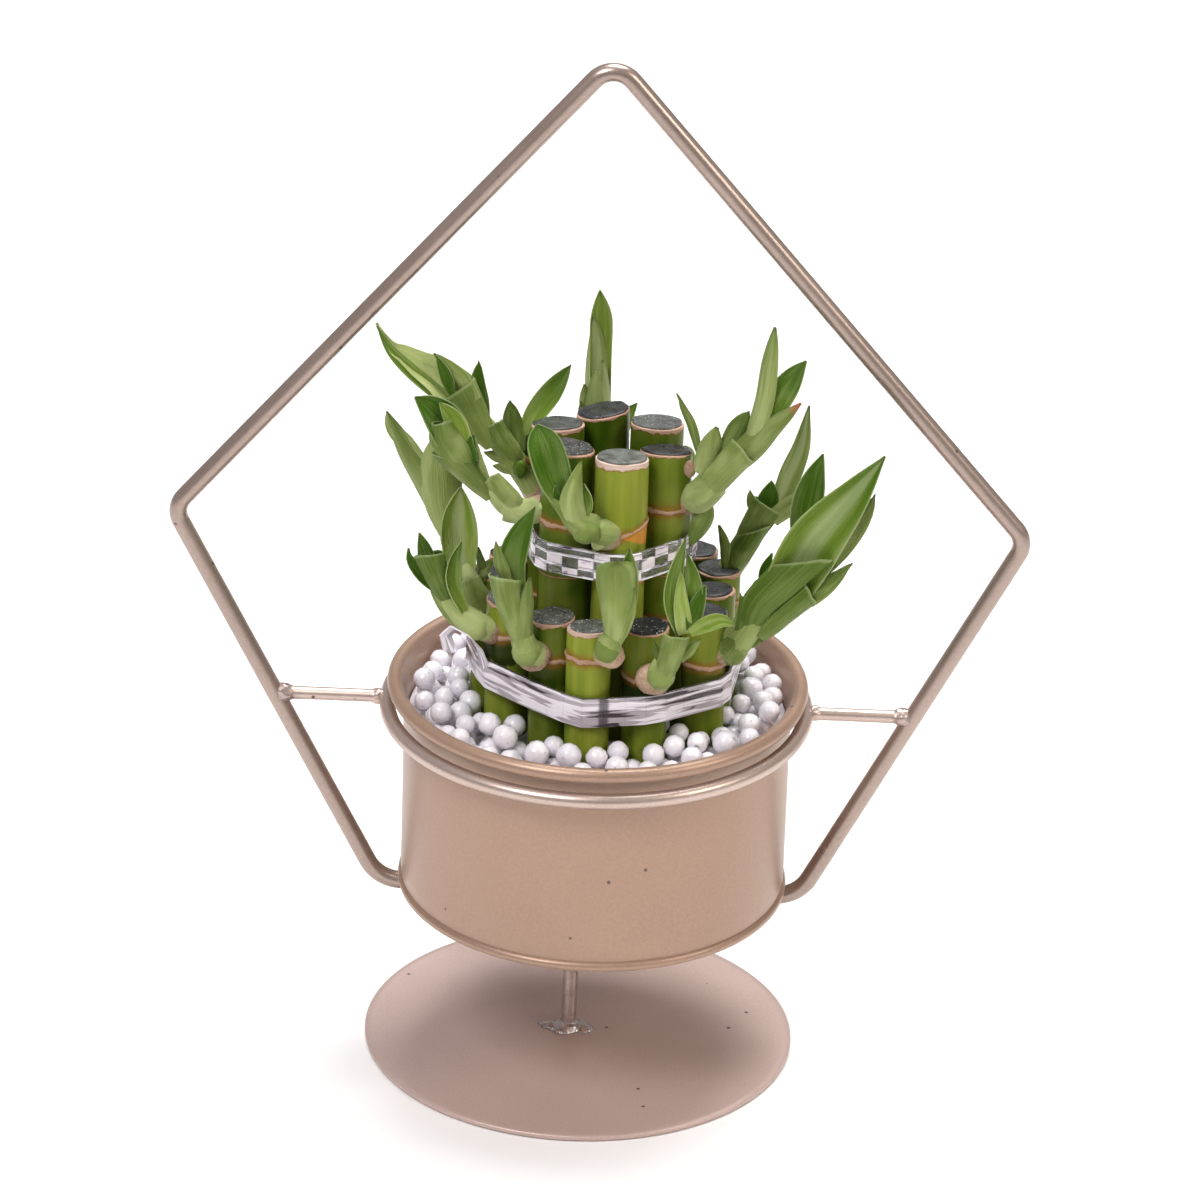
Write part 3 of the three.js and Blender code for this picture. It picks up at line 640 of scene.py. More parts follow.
paint_value(ring, "weld", np.clip((weld_reach / MM - (LEG_X - WELD_START)) / WELD_FADE, 0, 1))
print("ring and pins:", len(ring.data.vertices), "vertices")


# %% Welded paint
# Near the legs the paint is burnt thin and dark over the weld, and bright where it was ground.
ring_paint = champagne_paint("ring_paint", (0.56, 0.44, 0.39), (0.48, 0.37, 0.32), 0.3, 0.7)
whole_paint = ring_paint.shader.inputs["Base Color"].links[0].from_socket
burn = ring_paint.group(grain_group, Fine_Scale=2600.0, Broad_Scale=420.0)
burnt = ring_paint.times(ring_paint.number("weld"), burn["Broad"])
scorched = ring_paint.mix(burn["Fine"], (0.17, 0.12, 0.11), (0.42, 0.36, 0.36))
ring_paint.feed(Base_Color=ring_paint.mix(burnt, whole_paint, scorched))
place(ring, "painted_rod", ["holder_ring"], ring_paint)

# %% [markdown]
# ## The post
#
# A thinner rod stands in the middle of the base plate and carries the loop. It is held by an
# untidy pool of weld, bright and silvery, with a lobe that ran out to the left.

# %% Post and its weld
POST_RADIUS = 2.0
POST_FOOT_X = -4.0
POST_TOP_X = -3.4
POST_VOXEL = 0.28
POST_LUMPS = {"amount": 0.35, "size": 1.5}
WELD_REACH = 3.0                    # how high the weld creeps up the post, above its first 3 mm
POST_LOBES = [                      # x, y, half width, half depth, height
    (0.0, 0.0, 4.0, 3.6, 2.3),
    (-4.6, 0.3, 2.9, 2.3, 1.15),
    (3.6, -0.4, 3.5, 2.8, 0.9),
    (0.4, 1.6, 4.6, 3.0, 1.1),
    (-1.0, -2.2, 3.0, 2.2, 1.3),
    (-7.0, 0.9, 1.2, 0.9, 0.7),
]


def weld_lobe(x, y, half_width, half_depth, height):
    """Half a flattened ball that lies on the plate."""
    only()
    middle = Vector((POST_FOOT_X + x, y, PLATE_THICKNESS)) * MM
    bpy.ops.mesh.primitive_uv_sphere_add(segments=32, ring_count=18, radius=MM, location=middle)
    lobe = begin("lobe")
    bpy.ops.object.mode_set(mode="EDIT")
    bpy.ops.transform.resize(value=(half_width, half_depth, height), center_override=middle)
    bpy.ops.mesh.select_all(action="SELECT")
    bpy.ops.mesh.bisect(
        plane_co=(0, 0, PLATE_THICKNESS * MM), plane_no=(0, 0, -1), clear_outer=True, use_fill=True)
    bpy.ops.object.mode_set(mode="OBJECT")
    return lobe


post_length = RUN_Z - ROD_RADIUS - PLATE_THICKNESS
post = start_rod("post_rod", POST_RADIUS, ROD_SIDES, (POST_FOOT_X, 0, PLATE_THICKNESS), (0, 0, 1))
run_straight(((POST_TOP_X - POST_FOOT_X), 0, post_length - 0.1))
tidy_mesh()
post = join("post_and_weld", post, *[weld_lobe(*lobe) for lobe in POST_LOBES])
fuse(post, POST_VOXEL, 4)
near_foot = np.clip((2 * WELD_REACH - coordinates(post)[:, 2] / MM) / WELD_REACH, 0, 1)
for vertex, near in zip(post.data.vertices, near_foot):
    if vertex.co.z > (PLATE_THICKNESS + 0.15) * MM:
        lump = noise.noise(vertex.co / (POST_LUMPS["size"] * MM)) * POST_LUMPS["amount"] * MM
        vertex.co += vertex.normal * lump * float(near)
    vertex.co.z = max(vertex.co.z, PLATE_THICKNESS * MM)
paint_value(post, "weld", near_foot)
smooth(post, 70)
print("post and weld:", len(post.data.vertices), "vertices")

# %% Post steel
post_steel = Finish("post_steel")
grain = post_steel.group(grain_group, Fine_Scale=2200.0, Broad_Scale=380.0)
thin_paint = post_steel.mix(grain["Broad"], (0.42, 0.35, 0.32), (0.60, 0.54, 0.52))
bare = post_steel.mix(grain["Broad"], (0.30, 0.25, 0.24), (0.80, 0.77, 0.77))
post_steel.feed(
    Base_Color=post_steel.mix(post_steel.number("weld"), thin_paint, bare), Metallic=0.85, Roughness=0.24)
post_steel.bumps(grain["Height"], 0.15 * MM, 0.6)
place(post, "bare_weld_steel", ["post"], post_steel)

# %% [markdown]
# ## The pot
#
# The pot is rolled from thin sheet, with its rim and its bottom edge rolled over a wire. In
# section it is one closed outline, so a ring is taken along that outline on the lathe: up the
# outside from the bottom bead, over the rim, and down the inside to the floor.

# %% Pot
POT_X = 1.0
POT_BOTTOM = 46.9
RIM_Z = 105.1
RIM_RADIUS = 53.0
RIM_ROLL = 2.0
WALL_RADIUS = 50.7
WALL = 0.9
BEAD_ROLL = 1.4
POT_FLOOR = 49.6
POT_SIDES = 192
POT_DENTS = 0.16                     # how far the wall is out of true, in mm


def arc(middle_radius, middle_height, roll, first, last, steps):
    """Points of a rolled edge, from one angle to another in degrees."""
    points = []
    for k in range(steps + 1):
        angle = math.radians(first + (last - first) * k / steps)
        points.append((middle_radius + math.cos(angle) * roll, middle_height + math.sin(angle) * roll))
    return points


pot_inner = WALL_RADIUS - WALL
pot_profile = [(1, POT_FLOOR - WALL), (pot_inner - 1, POT_FLOOR - WALL)]
pot_profile += [(pot_inner - 0.2, POT_BOTTOM + 0.5)]
pot_profile += arc(WALL_RADIUS - BEAD_ROLL * 0.45, POT_BOTTOM + BEAD_ROLL, BEAD_ROLL, -100, 72, 10)
pot_profile += [(WALL_RADIUS, POT_BOTTOM + 2 * BEAD_ROLL + 0.7)]
pot_profile += [(WALL_RADIUS, POT_BOTTOM + 7 + 5 * k) for k in range(9)]
pot_profile += [(WALL_RADIUS + 0.1, RIM_Z - RIM_ROLL - 0.9)]
pot_profile += arc(RIM_RADIUS, RIM_Z, RIM_ROLL, -118, 182, 18)
pot_profile += [(pot_inner, RIM_Z - RIM_ROLL * 0.9), (pot_inner, 85), (pot_inner, POT_FLOOR + 0.6)]
pot_profile += [(pot_inner - 0.6, POT_FLOOR), (1, POT_FLOOR)]
pot = turned("metal_pot", pot_profile, POT_SIDES, POT_X)
for vertex in pot.data.vertices:
    about = math.atan2(vertex.co.y, vertex.co.x - POT_X * MM)
    swell = noise.noise(Vector((math.cos(about) * 1.4, math.sin(about) * 1.4, vertex.co.z * 22)))
    outwards = Vector((math.cos(about), math.sin(about), 0))
    vertex.co += outwards * swell * POT_DENTS * MM
smooth(pot, 50)
place(pot, "painted_pot", ["pot"], pot_paint)

# %% [markdown]
# ## The canes
#
# Each cane is a cut length of stem: nearly straight, with a raised scar where a leaf once ringed
# it, and a cut at the top. All are turned, but each has its own nodes, height, slope and painted
# light, which makes its green lighter in front and darker in the shade behind, so a cane is first a
# small record. It stands where its solid stands in the frame.

# %% The list of canes
INNER_RADIUS = 7.0
OUTER_RADIUS = 5.9
INNER_NODES = [157, 160.4, 158, 155, 161, 157.6]
OUTER_NODES = [128.6, 122, 121.6, 124, 126.5, 123, 125, 124, 123.4, 125.4, 126.6, 125.6, 124.6]
# Painted light of each cane: 1 is the lit yellow-green of a cane in front, 0 the shaded dark green of one
# behind.
INNER_PAINTED_LIGHT = [1.0, 0.5, 0.2, 0.1, 0.35, 0.15]
OUTER_PAINTED_LIGHT = [0.95, 0.6, 0.7, 0.4, 0.5, 0.3, 0.2, 0.2, 0.3, 0.5, 0.75, 0.8, 0.25]

canes = []
for tier, radius, heights, tints in (
        ("inner", INNER_RADIUS, INNER_NODES, INNER_PAINTED_LIGHT), ("outer", OUTER_RADIUS, OUTER_NODES, OUTER_PAINTED_LIGHT)):
    for i, (node, painted_light) in enumerate(zip(heights, tints)):
        solid = coordinates(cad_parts[f"cane_{tier}_{i + 1}"]) / MM
        canes.append({
            "name": f"{tier}_{i + 1}", "radius": radius, "node": node, "painted_light": painted_light,
            "x": solid[:, 0].mean(), "y": solid[:, 1].mean(), "top": solid[:, 2].max(),
        })
print("canes:", len(canes), "from", round(min(cane["top"] for cane in canes), 1),
      "to", round(max(cane["top"] for cane in canes), 1), "mm high")

# %% [markdown]
# ## Turning a cane
#
# A cane is turned from its foot to its cut, with closer rings at the scars and below the cut. Then
# its vertices are pushed about a little by noise, and the cut is sloped. Two heights are written
# on every vertex, from the nearest node and from the cut: the skin draws the scar and the dried
# rim from them. One cane in front has a slanted scar, and there the dry orange layer shows.

# %% Cane shape
NODE_STEP = 31
CANE_FOOT = 60.3
CANE_SIDES = 40
LOWEST_NODE = 104                    # lower nodes are under the beads
SCAR = {"rise": 0.30, "width": 0.45}
SCAR_SWELL = {"rise": 0.16, "width": 2.2}
SCAR_GROOVE = {"rise": -0.14, "width": 0.5, "above": 1.1}
CUT_SLOPES = {                       # how the cuts rise to the right and away from the front
    "inner_1": (0.0, -0.14), "inner_2": (-0.02, -0.22), "inner_3": (-0.03, -0.13), "inner_4": (0.17, -0.09),
    "inner_5": (0.04, -0.16), "inner_6": (-0.1, -0.12), "outer_1": (0.03, -0.13), "outer_13": (0.03, -0.02),
    "outer_2": (0.02, -0.04), "outer_3": (-0.05, -0.06), "outer_4": (0.04, -0.08), "outer_12": (-0.06, 0.02),
}
# Dark wax drips with painted shade under the node: how strong this band is on each cane.
DRIPS_AND_SHADE = {"outer_12": 1.0, "outer_2": 1.0, "outer_3": 0.6, "outer_13": 0.5, "outer_9": 0.8, "outer_6": 0.7}
RIMS = {"inner_1": 2.0, "inner_5": 1.2, "inner_3": 1.1, "outer_1": 1.5, "outer_13": 1.0}
PEELED = "inner_1"                   # its scar is slanted, with a dry orange peel under it
PEEL_TILT = 2.6


def scar_bulge(off, rise, width, above=0.0):
    """How far the skin stands out at a height from a node."""
    return rise * math.exp(-(((off - above) / width) ** 2))


def cane_profile(cane):
    """From the foot to the cut, with the heights of the nodes that show."""
    radius = cane["radius"]
    top = cane["top"]
    nodes = [cane["node"] - NODE_STEP * k for k in range(3) if cane["node"] - NODE_STEP * k > LOWEST_NODE]
    heights = {CANE_FOOT, top - 0.25}
    heights.update(float(z) for z in np.arange(CANE_FOOT + 5, top - 2, 5))
    heights.update(top - 0.4 - 0.4 * k for k in range(5))
    for node in nodes:
        heights.update(node + 0.3 * k for k in range(-6, 7))
    profile = [(0.5, CANE_FOOT)]
    for height in sorted(heights):
        swell = 0.0
        for node in nodes:
            for bulge in (SCAR, SCAR_SWELL, SCAR_GROOVE):
                swell += scar_bulge(height - node, **bulge)
        profile.append((radius + swell, height))
    profile += [(radius - 0.12, top - 0.08), (radius - 0.35, top), (radius - 0.9, top - 0.05)]
    profile += [(0.5, top - 0.1)]
    return profile, nodes


def cut_tilt(cane, away):
    """No cut is quite level: how far its edge stands up or down at this place."""
    slopes = CUT_SLOPES.get(cane["name"], (0.0, -0.05))
    return slopes[0] * away.x + slopes[1] * away.y


def make_cane(cane, seed):
    """One cane, with the numbers that its skin reads."""
    profile, nodes = cane_profile(cane)
    piece = turned("stalk_" + cane["name"], profile, CANE_SIDES, cane["x"], cane["y"])
    points = coordinates(piece) / MM
    count = len(points)
    nearest = np.full(count, 40.0)
    for node in nodes:
        off = points[:, 2] - node
        nearest = np.where(np.abs(off) < np.abs(nearest), off, nearest)
    aside = (points[:, 0] - cane["x"]) / cane["radius"]
    paint_value(piece, "from_node", nearest)
    paint_value(piece, "from_cut", cane["top"] - points[:, 2])
    paint_value(piece, "painted_light", np.full(count, cane["painted_light"]))
    paint_value(piece, "peel", np.clip(aside, 0, 1) * (cane["name"] == PEELED))
    paint_value(piece, "drip_and_shade", np.full(count, DRIPS_AND_SHADE.get(cane["name"], 0.0)))
    paint_value(piece, "rim", np.full(count, RIMS.get(cane["name"], 0.8)))
    shift = Vector((seed * 5.3, seed * 2.9, 0))
    for vertex, across in zip(piece.data.vertices, aside):
        if cane["name"] == PEELED:
            near = math.exp(-(((vertex.co.z / MM - cane["node"]) / 6) ** 2))
            vertex.co.z += float(across) * near * PEEL_TILT * MM
        away = Vector((vertex.co.x - cane["x"] * MM, vertex.co.y - cane["y"] * MM, 0))
        if vertex.co.z > (cane["top"] - 4) * MM:
            vertex.co.z += cut_tilt(cane, away)
        if away.length > 2 * MM:
            wobble = noise.noise(Vector((*(away * 160).xy, vertex.co.z * 45)) + shift)
            vertex.co += away.normalized() * (wobble * 0.32 - 0.14) * MM
    smooth(piece, 45)
    return piece


stalks = [make_cane(cane, seed) for seed, cane in enumerate(canes)]
print("stalks:", len(stalks))

# %% [markdown]
# ## The cane skin
#
# The skin is laid up in layers. Green streaks run along it, with yellowed patches, and each cane's
# green is lit or shaded by painted light: lighter in front, darker in the shade behind.
# Over them go dark wax drips with painted shade under the node on some canes, a rusty halo and the
# pale scar at each node, the orange peel of one cane, and the dried rim under the cut, with a thin
# dark line where it meets the green.

# %% Cane skin
skin = Finish("cane_skin")
from_node = skin.number("from_node")
from_cut = skin.number("from_cut")
painted_light = skin.number("painted_light")
peel = skin.number("peel")
rim_width = skin.number("rim")
lengthwise = skin.nodes.new("ShaderNodeMapping")
lengthwise.inputs["Scale"].default_value = (320, 320, 16)
skin.set(lengthwise.inputs["Vector"], skin.at())
streak = skin.noise(lengthwise.outputs["Vector"], 1.0, 3)
ragged = skin.noise(skin.at(), 420.0, 4)
wander = skin.minus(ragged, 0.5)

# Painted light and shade: each cane's green runs from a shaded dark green to a lit yellow-green.
young = skin.mix(painted_light, (0.046, 0.098, 0.004), (0.27, 0.31, 0.036))
old = skin.mix(painted_light, (0.020, 0.055, 0.0015), (0.175, 0.23, 0.02))
green = skin.mix(skin.ramp(streak, 0.35, 0.65), old, young)
yellowed = skin.times(skin.ramp(skin.noise(skin.at(), 70.0, 2), 0.45, 0.7), 0.35)
green = skin.mix(yellowed, green, (0.31, 0.30, 0.06))

# Dark wax drips with painted shade: a darker, glossier ragged band from 1 to about 8 mm under the node.
drip_and_shade_foot = skin.ramp(skin.plus(from_node, skin.times(wander, 9.0)), -8.5, -7.0)
drip_and_shade = skin.times(skin.times(drip_and_shade_foot, skin.ramp(from_node, -0.5, -1.1)), skin.number("drip_and_shade"))
green = skin.mix(skin.times(drip_and_shade, 0.88), green, (0.008, 0.022, 0.008))

scar_off = skin.unsigned(skin.plus(from_node, skin.times(wander, 2.2)))
halo = skin.times(skin.ramp(scar_off, 2.8, 0.4, True), 0.8)
green = skin.mix(halo, green, (0.24, 0.10, 0.018))
scar = skin.ramp(scar_off, 0.72, 0.5)
green = skin.mix(scar, green, skin.mix(ragged, (0.30, 0.15, 0.08), (0.55, 0.38, 0.29)))

peeled = skin.ramp(skin.plus(from_node, skin.times(peel, 5.0)), 0.0, 0.4)
peeled = skin.times(peeled, skin.ramp(from_node, 0.1, -0.5))
peeled = skin.times(peeled, skin.ramp(peel, 0.02, 0.1))
green = skin.mix(peeled, green, skin.mix(streak, (0.50, 0.17, 0.02), (0.66, 0.33, 0.06)))

rim_off = skin.sum("DIVIDE", skin.plus(from_cut, skin.times(wander, 2.6)), rim_width)
rim = skin.ramp(rim_off, 1.05, 0.85)
rim_colour = skin.mix(ragged, (0.28, 0.14, 0.08), (0.60, 0.41, 0.31))
rim_colour = skin.mix(skin.ramp(rim_width, 0.9, 2.4), rim_colour, (0.76, 0.60, 0.52))
rim_colour = skin.mix(skin.ramp(rim_off, 0.7, 0.95), rim_colour, (0.34, 0.12, 0.035))

dry = skin.sum("MAXIMUM", scar, rim)
rough = skin.minus(skin.times(dry, 0.35), skin.times(drip_and_shade, 0.14))
skin.feed(
    Base_Color=skin.mix(rim, green, rim_colour), Roughness=skin.plus(rough, 0.3), Specular_IOR_Level=0.07)
skin.bumps(skin.plus(skin.times(ragged, dry), skin.times(streak, 0.15)), 0.4 * MM, 0.7)

for cane, stalk in zip(canes, stalks):
    place(stalk, "cane", ["cane_" + cane["name"]], skin)

# %% [markdown]
# ## The wax seals
#
# The cuts are dipped in dark wax so that they don't dry out. Each seal is a thin cap with an
# uneven edge: some set smooth and glossy, others are pitted like coarse sand.

# %% Wax
GRANULAR = {"outer_1": 1.0, "outer_2": 1.0, "outer_13": 0.9, "inner_6": 0.45, "inner_3": 0.5, "outer_12": 0.5}
WAX_TONES = {
    "inner_1": 0.8, "inner_2": 0.0, "inner_3": 0.55, "inner_4": -0.1, "inner_5": 0.25, "inner_6": 0.2,
    "outer_1": 1.15, "outer_2": -0.1, "outer_3": 0.1, "outer_4": 0.0, "outer_12": 0.6, "outer_13": 0.85,
}

wax = Finish("dark_wax")
sand = wax.number("sand")
tone = wax.number("tone")
wax_grain = wax.group(grain_group, Fine_Scale=2300.0, Broad_Scale=300.0)
wax_light_specks = wax.group(fleck_group, Scale=1500.0, Amount=0.30)
wax_dark = wax.mix(tone, (0.014, 0.013, 0.016), (0.085, 0.092, 0.080))
wax_light = wax.mix(tone, (0.038, 0.042, 0.042), (0.21, 0.22, 0.20))
wax_colour = wax.mix(wax_grain["Broad"], wax_dark, wax_light)
wax_colour = wax.mix(wax.times(wax_light_specks["Mask"], sand), wax_colour, (0.66, 0.68, 0.66))
wax_rough = wax.times(wax.ramp(wax_grain["Broad"], 0.0, 1.0), 0.25)
wax.feed(Base_Color=wax_colour, Roughness=wax.plus(wax_rough, 0.2), Specular_IOR_Level=0.35)
wax.bumps(wax.plus(wax.times(wax_grain["Fine"], sand), wax.times(wax_grain["Broad"], 0.5)), 0.5 * MM, 0.8)
print("wax is ready; its sandiest seals:", [name for name, share in GRANULAR.items() if share > 0.8])

# %% Wax seals
SEAL_HEIGHT = 0.6
SEAL_SIDES = 36


def make_seal(cane, seed):
    """A thin cap on the cut, with its edge and its top pushed about by noise."""
    edge = cane["radius"] - 0.5
    foot = cane["top"] + 0.02
    profile = [(0.4, foot), (edge - 0.2, foot), (edge, foot + 0.12), (edge - 0.12, foot + SEAL_HEIGHT * 0.7),
               (edge - 0.6, foot + SEAL_HEIGHT), (edge * 0.7, foot + SEAL_HEIGHT * 0.92)]
    profile += [(edge * share, foot + SEAL_HEIGHT * 0.85) for share in (0.5, 0.3, 0.1)]
    cap = turned("wax_" + cane["name"], profile, SEAL_SIDES, cane["x"], cane["y"])
    shift = Vector((seed * 1.9, seed * 4.1, 3))
    for vertex in cap.data.vertices:
        away = Vector((vertex.co.x - cane["x"] * MM, vertex.co.y - cane["y"] * MM, 0))
        wave = noise.noise(vertex.co * 260 + shift)
        vertex.co.z += cut_tilt(cane, away)
        if vertex.co.z > (foot + 0.2) * MM:
            vertex.co.z += wave * 0.28 * MM
        if away.length > edge * 0.8 * MM:
            vertex.co += away.normalized() * wave * 0.6 * MM
    smooth(cap, 60)
    paint_value(cap, "sand", np.full(len(cap.data.vertices), GRANULAR.get(cane["name"], 0.12)))
    paint_value(cap, "tone", np.full(len(cap.data.vertices), WAX_TONES.get(cane["name"], 0.15)))
    return cap


for seed, cane in enumerate(canes):
    place(make_seal(cane, seed), "cane_wax", ["seal_" + cane["name"]], wax)

# %% [markdown]
# ## The beads
#
# Pearly beads fill the pot. They are dropped one by one: each takes the lowest of many random
# places, resting on those already there, which heaps them as a hand that pours them does. They
# may heap a little higher round the canes. Below them a plain core fills the pot.

# %% Dropping the beads
BED_RADIUS = 49.4
BED_FLOOR = 50.1
CORE_TOP = 96.5
BEAD_TOP = 104.6
BEAD_HEAP = 2.6
SMALL_BEAD = 2.5
LARGE_BEAD = 3.5
BEAD_TRIES = 320
BEAD_LIMIT = 620
BEAD_SEED = 11

cane_spots = np.array([(cane["x"], cane["y"], cane["radius"]) for cane in canes])


def dropped_beads():
    """Places and radii, in mm: each bead rests at the lowest of its random places."""
    dice = np.random.default_rng(BEAD_SEED)
    beads = np.empty((0, 4))
    while len(beads) < BEAD_LIMIT:
        radius = SMALL_BEAD + (LARGE_BEAD - SMALL_BEAD) * dice.beta(1.6, 1.8)
        reach = (BED_RADIUS - radius) * np.sqrt(dice.random(BEAD_TRIES))
        angle = dice.random(BEAD_TRIES) * 2 * math.pi
        x = POT_X + reach * np.cos(angle)
        y = reach * np.sin(angle)
        z = np.full(BEAD_TRIES, CORE_TOP + radius * 0.6)
        if len(beads):
            apart = np.hypot(x[:, None] - beads[:, 0], y[:, None] - beads[:, 1])
            touch = radius + beads[:, 3]
            over = np.sqrt(np.clip(touch ** 2 - apart ** 2, 0, None))
            z = np.maximum(z, np.where(apart < touch, beads[:, 2] + over, 0).max(1))
        clear = np.hypot(x[:, None] - cane_spots[:, 0], y[:, None] - cane_spots[:, 1]) - cane_spots[:, 2]
        nearest = clear.min(1)
        heap = BEAD_HEAP * np.exp(-np.clip(nearest, 0, None) / 9)
        level = z - heap
        level[nearest < radius * 0.95] = 1e6
        best = int(level.argmin())
        if level[best] > BEAD_TOP:
            break
        beads = np.vstack([beads, (x[best], y[best], z[best], radius)])
    return beads


beads = dropped_beads()
print("beads:", len(beads), "top at", round(float((beads[:, 2] + beads[:, 3]).max()), 1))

# %% [markdown]
# ## Modelling the beads
#
# One bead is modelled: a cube, cut up and made round, so that it has few faces but no poles. Each
# copy has its own mesh, is turned and flattened a little at random, and is then joined to the bed.

# %% Bead bed
BED_SIDES = 96

only()
bpy.ops.mesh.primitive_cube_add(size=2 * MM)
pearl_model = begin("pearl")
bpy.ops.object.mode_set(mode="EDIT")
bpy.ops.mesh.select_all(action="SELECT")
bpy.ops.mesh.subdivide(number_cuts=2)
bpy.ops.transform.tosphere(value=1)
bpy.ops.object.mode_set(mode="OBJECT")
sphere_radius = float(np.linalg.norm(coordinates(pearl_model), axis=1).mean())

core_profile = [(1, BED_FLOOR), (BED_RADIUS, BED_FLOOR), (BED_RADIUS, CORE_TOP), (1, CORE_TOP)]
core = turned("bed_core", core_profile, BED_SIDES, POT_X)
paint_value(core, "bead", np.zeros(len(core.data.vertices)))
dice = random.Random(BEAD_SEED)
copies = []
for x, y, z, radius in beads:
    copy = pearl_model.copy()
    copy.data = pearl_model.data.copy()
    bpy.context.collection.objects.link(copy)
    turn = Matrix.Rotation(dice.uniform(0, math.pi), 4, Vector([dice.uniform(-1, 1) for _ in range(3)]))
    squash = Matrix.Diagonal((1, dice.uniform(0.95, 1.0), dice.uniform(0.91, 1.0), 1))
    size = Matrix.Scale(radius * MM / sphere_radius, 4)
    copy.data.transform(Matrix.Translation(Vector((x, y, z)) * MM) @ turn @ squash @ size)
    paint_value(copy, "bead", np.full(len(copy.data.vertices), dice.random()))
    copies.append(copy)
only(pearl_model)
bpy.ops.object.delete()
bed = join("bead_bed_pearls", core, *copies)
smooth(bed, 70)
print("bed:", len(bed.data.vertices), "vertices")

# %% Pearl
# A milky white that differs from bead to bead, with silver flakes and a few dark pits.
pearl = Finish("pearl")
pearl_grain = pearl.group(grain_group, Fine_Scale=1300.0, Broad_Scale=420.0)
silver = pearl.group(fleck_group, Scale=900.0, Amount=0.09)["Mask"]
pits = pearl.group(fleck_group, Scale=330.0, Amount=0.05)["Mask"]
white = pearl.mix(pearl.number("bead"), (0.82, 0.785, 0.85), (0.95, 0.905, 0.94))
white = pearl.mix(pearl.times(pearl_grain["Broad"], 0.3), white, (0.60, 0.59, 0.65))
white = pearl.mix(pearl.times(silver, 0.55), white, (0.42, 0.42, 0.46))
white = pearl.mix(pearl.times(pits, 0.75), white, (0.16, 0.15, 0.17))
pearl.feed(Base_Color=white, Roughness=0.26, Coat_Weight=0.3, Coat_Roughness=0.12)
pearl.bumps(pearl.minus(pearl_grain["Height"], pearl.times(pits, 1.5)), 0.2 * MM, 0.5)
place(bed, "pearl_beads", ["bead_bed"], pearl)

# %% [markdown]
# ## The clear straps
#
# A clear plastic strap with cut facets is pulled tight round each tier. It follows the outermost
# canes, straight from one to the next, so its outline is found first: in each direction the
# strap lies on the cane that reaches farthest. The outline is then walked in steps of one facet.

# %% Taut outlines
STRAP_CLEAR = 0.75
STRAP_THICK = 0.75
STRAPS = {
    "inner": {
        "z": 145.0,
        "canes": [cane for cane in canes if cane["radius"] == INNER_RADIUS],
        "rows": [0.6, 1.7, 0.8, 2.2, 0.8, 1.3, 0.6],
        "facet": 4.3,
        "inset": 0.10,
        "rise": 0.24,
    },
    "outer": {
        "z": 110.8,
        "canes": canes,
        "rows": [0.8, 1.5, 1.6, 1.7, 1.6, 0.8],
        "facet": 5.6,
        "inset": 0.05,
        "rise": 0.12,
    },
}


def taut_outline(strap, steps=720):
    """The closed line that a taut strap takes round its canes, in steps of about one facet."""
    line = []
    for k in range(steps):
        angle = 2 * math.pi * k / steps
        ahead = Vector((math.cos(angle), math.sin(angle)))
        best = max(
            strap["canes"], key=lambda cane: cane["x"] * ahead.x + cane["y"] * ahead.y + cane["radius"])
        reach = best["radius"] + STRAP_CLEAR + STRAP_THICK
        line.append(Vector((best["x"], best["y"])) + ahead * reach)
    lengths = [0.0]
    for a, b in zip(line, line[1:] + line[:1]):
        lengths.append(lengths[-1] + (b - a).length)
    count = round(lengths[-1] / strap["facet"])
    walked = []
    for k in range(count):
        wanted = lengths[-1] * k / count
        i = int(np.searchsorted(lengths, wanted, side="right")) - 1
        share = (wanted - lengths[i]) / max(lengths[i + 1] - lengths[i], 1e-9)
        walked.append(line[i].lerp(line[(i + 1) % steps], share))
    return walked


for tier, strap in STRAPS.items():
    strap["outline"] = taut_outline(strap)
    print(tier, "strap has", len(strap["outline"]), "facets round")

# %% [markdown]
# ## Modelling a strap
#
# A ring of vertices is laid on the outline and extruded up row by row. Solidify gives it its
# thickness, and then each outer face is inset and raised as a facet. The upper strap is cut in
# square windows, some clear and some milky, between silvered rows; the lower one is softer, with
# painted streaks of glint and dark reflection that run on. Its length is wound on a circle for
# these painted streaks, so that they have no seam.

# %% Strap shape
CLEAR, SILVERED, MILKY, FILM = range(4)


def facet_finish(tier, row, column, rows):
    """Which of the four plastics a facet shows."""
    chance = noise.noise(Vector((column * 0.71, row * 3.3, len(tier) + rows)))
    if tier == "outer":
        return FILM
    if row % 2 == 0:
        return SILVERED if chance > -0.3 else CLEAR
    return MILKY if (row // 2 + column) % 2 and chance > -0.35 else CLEAR


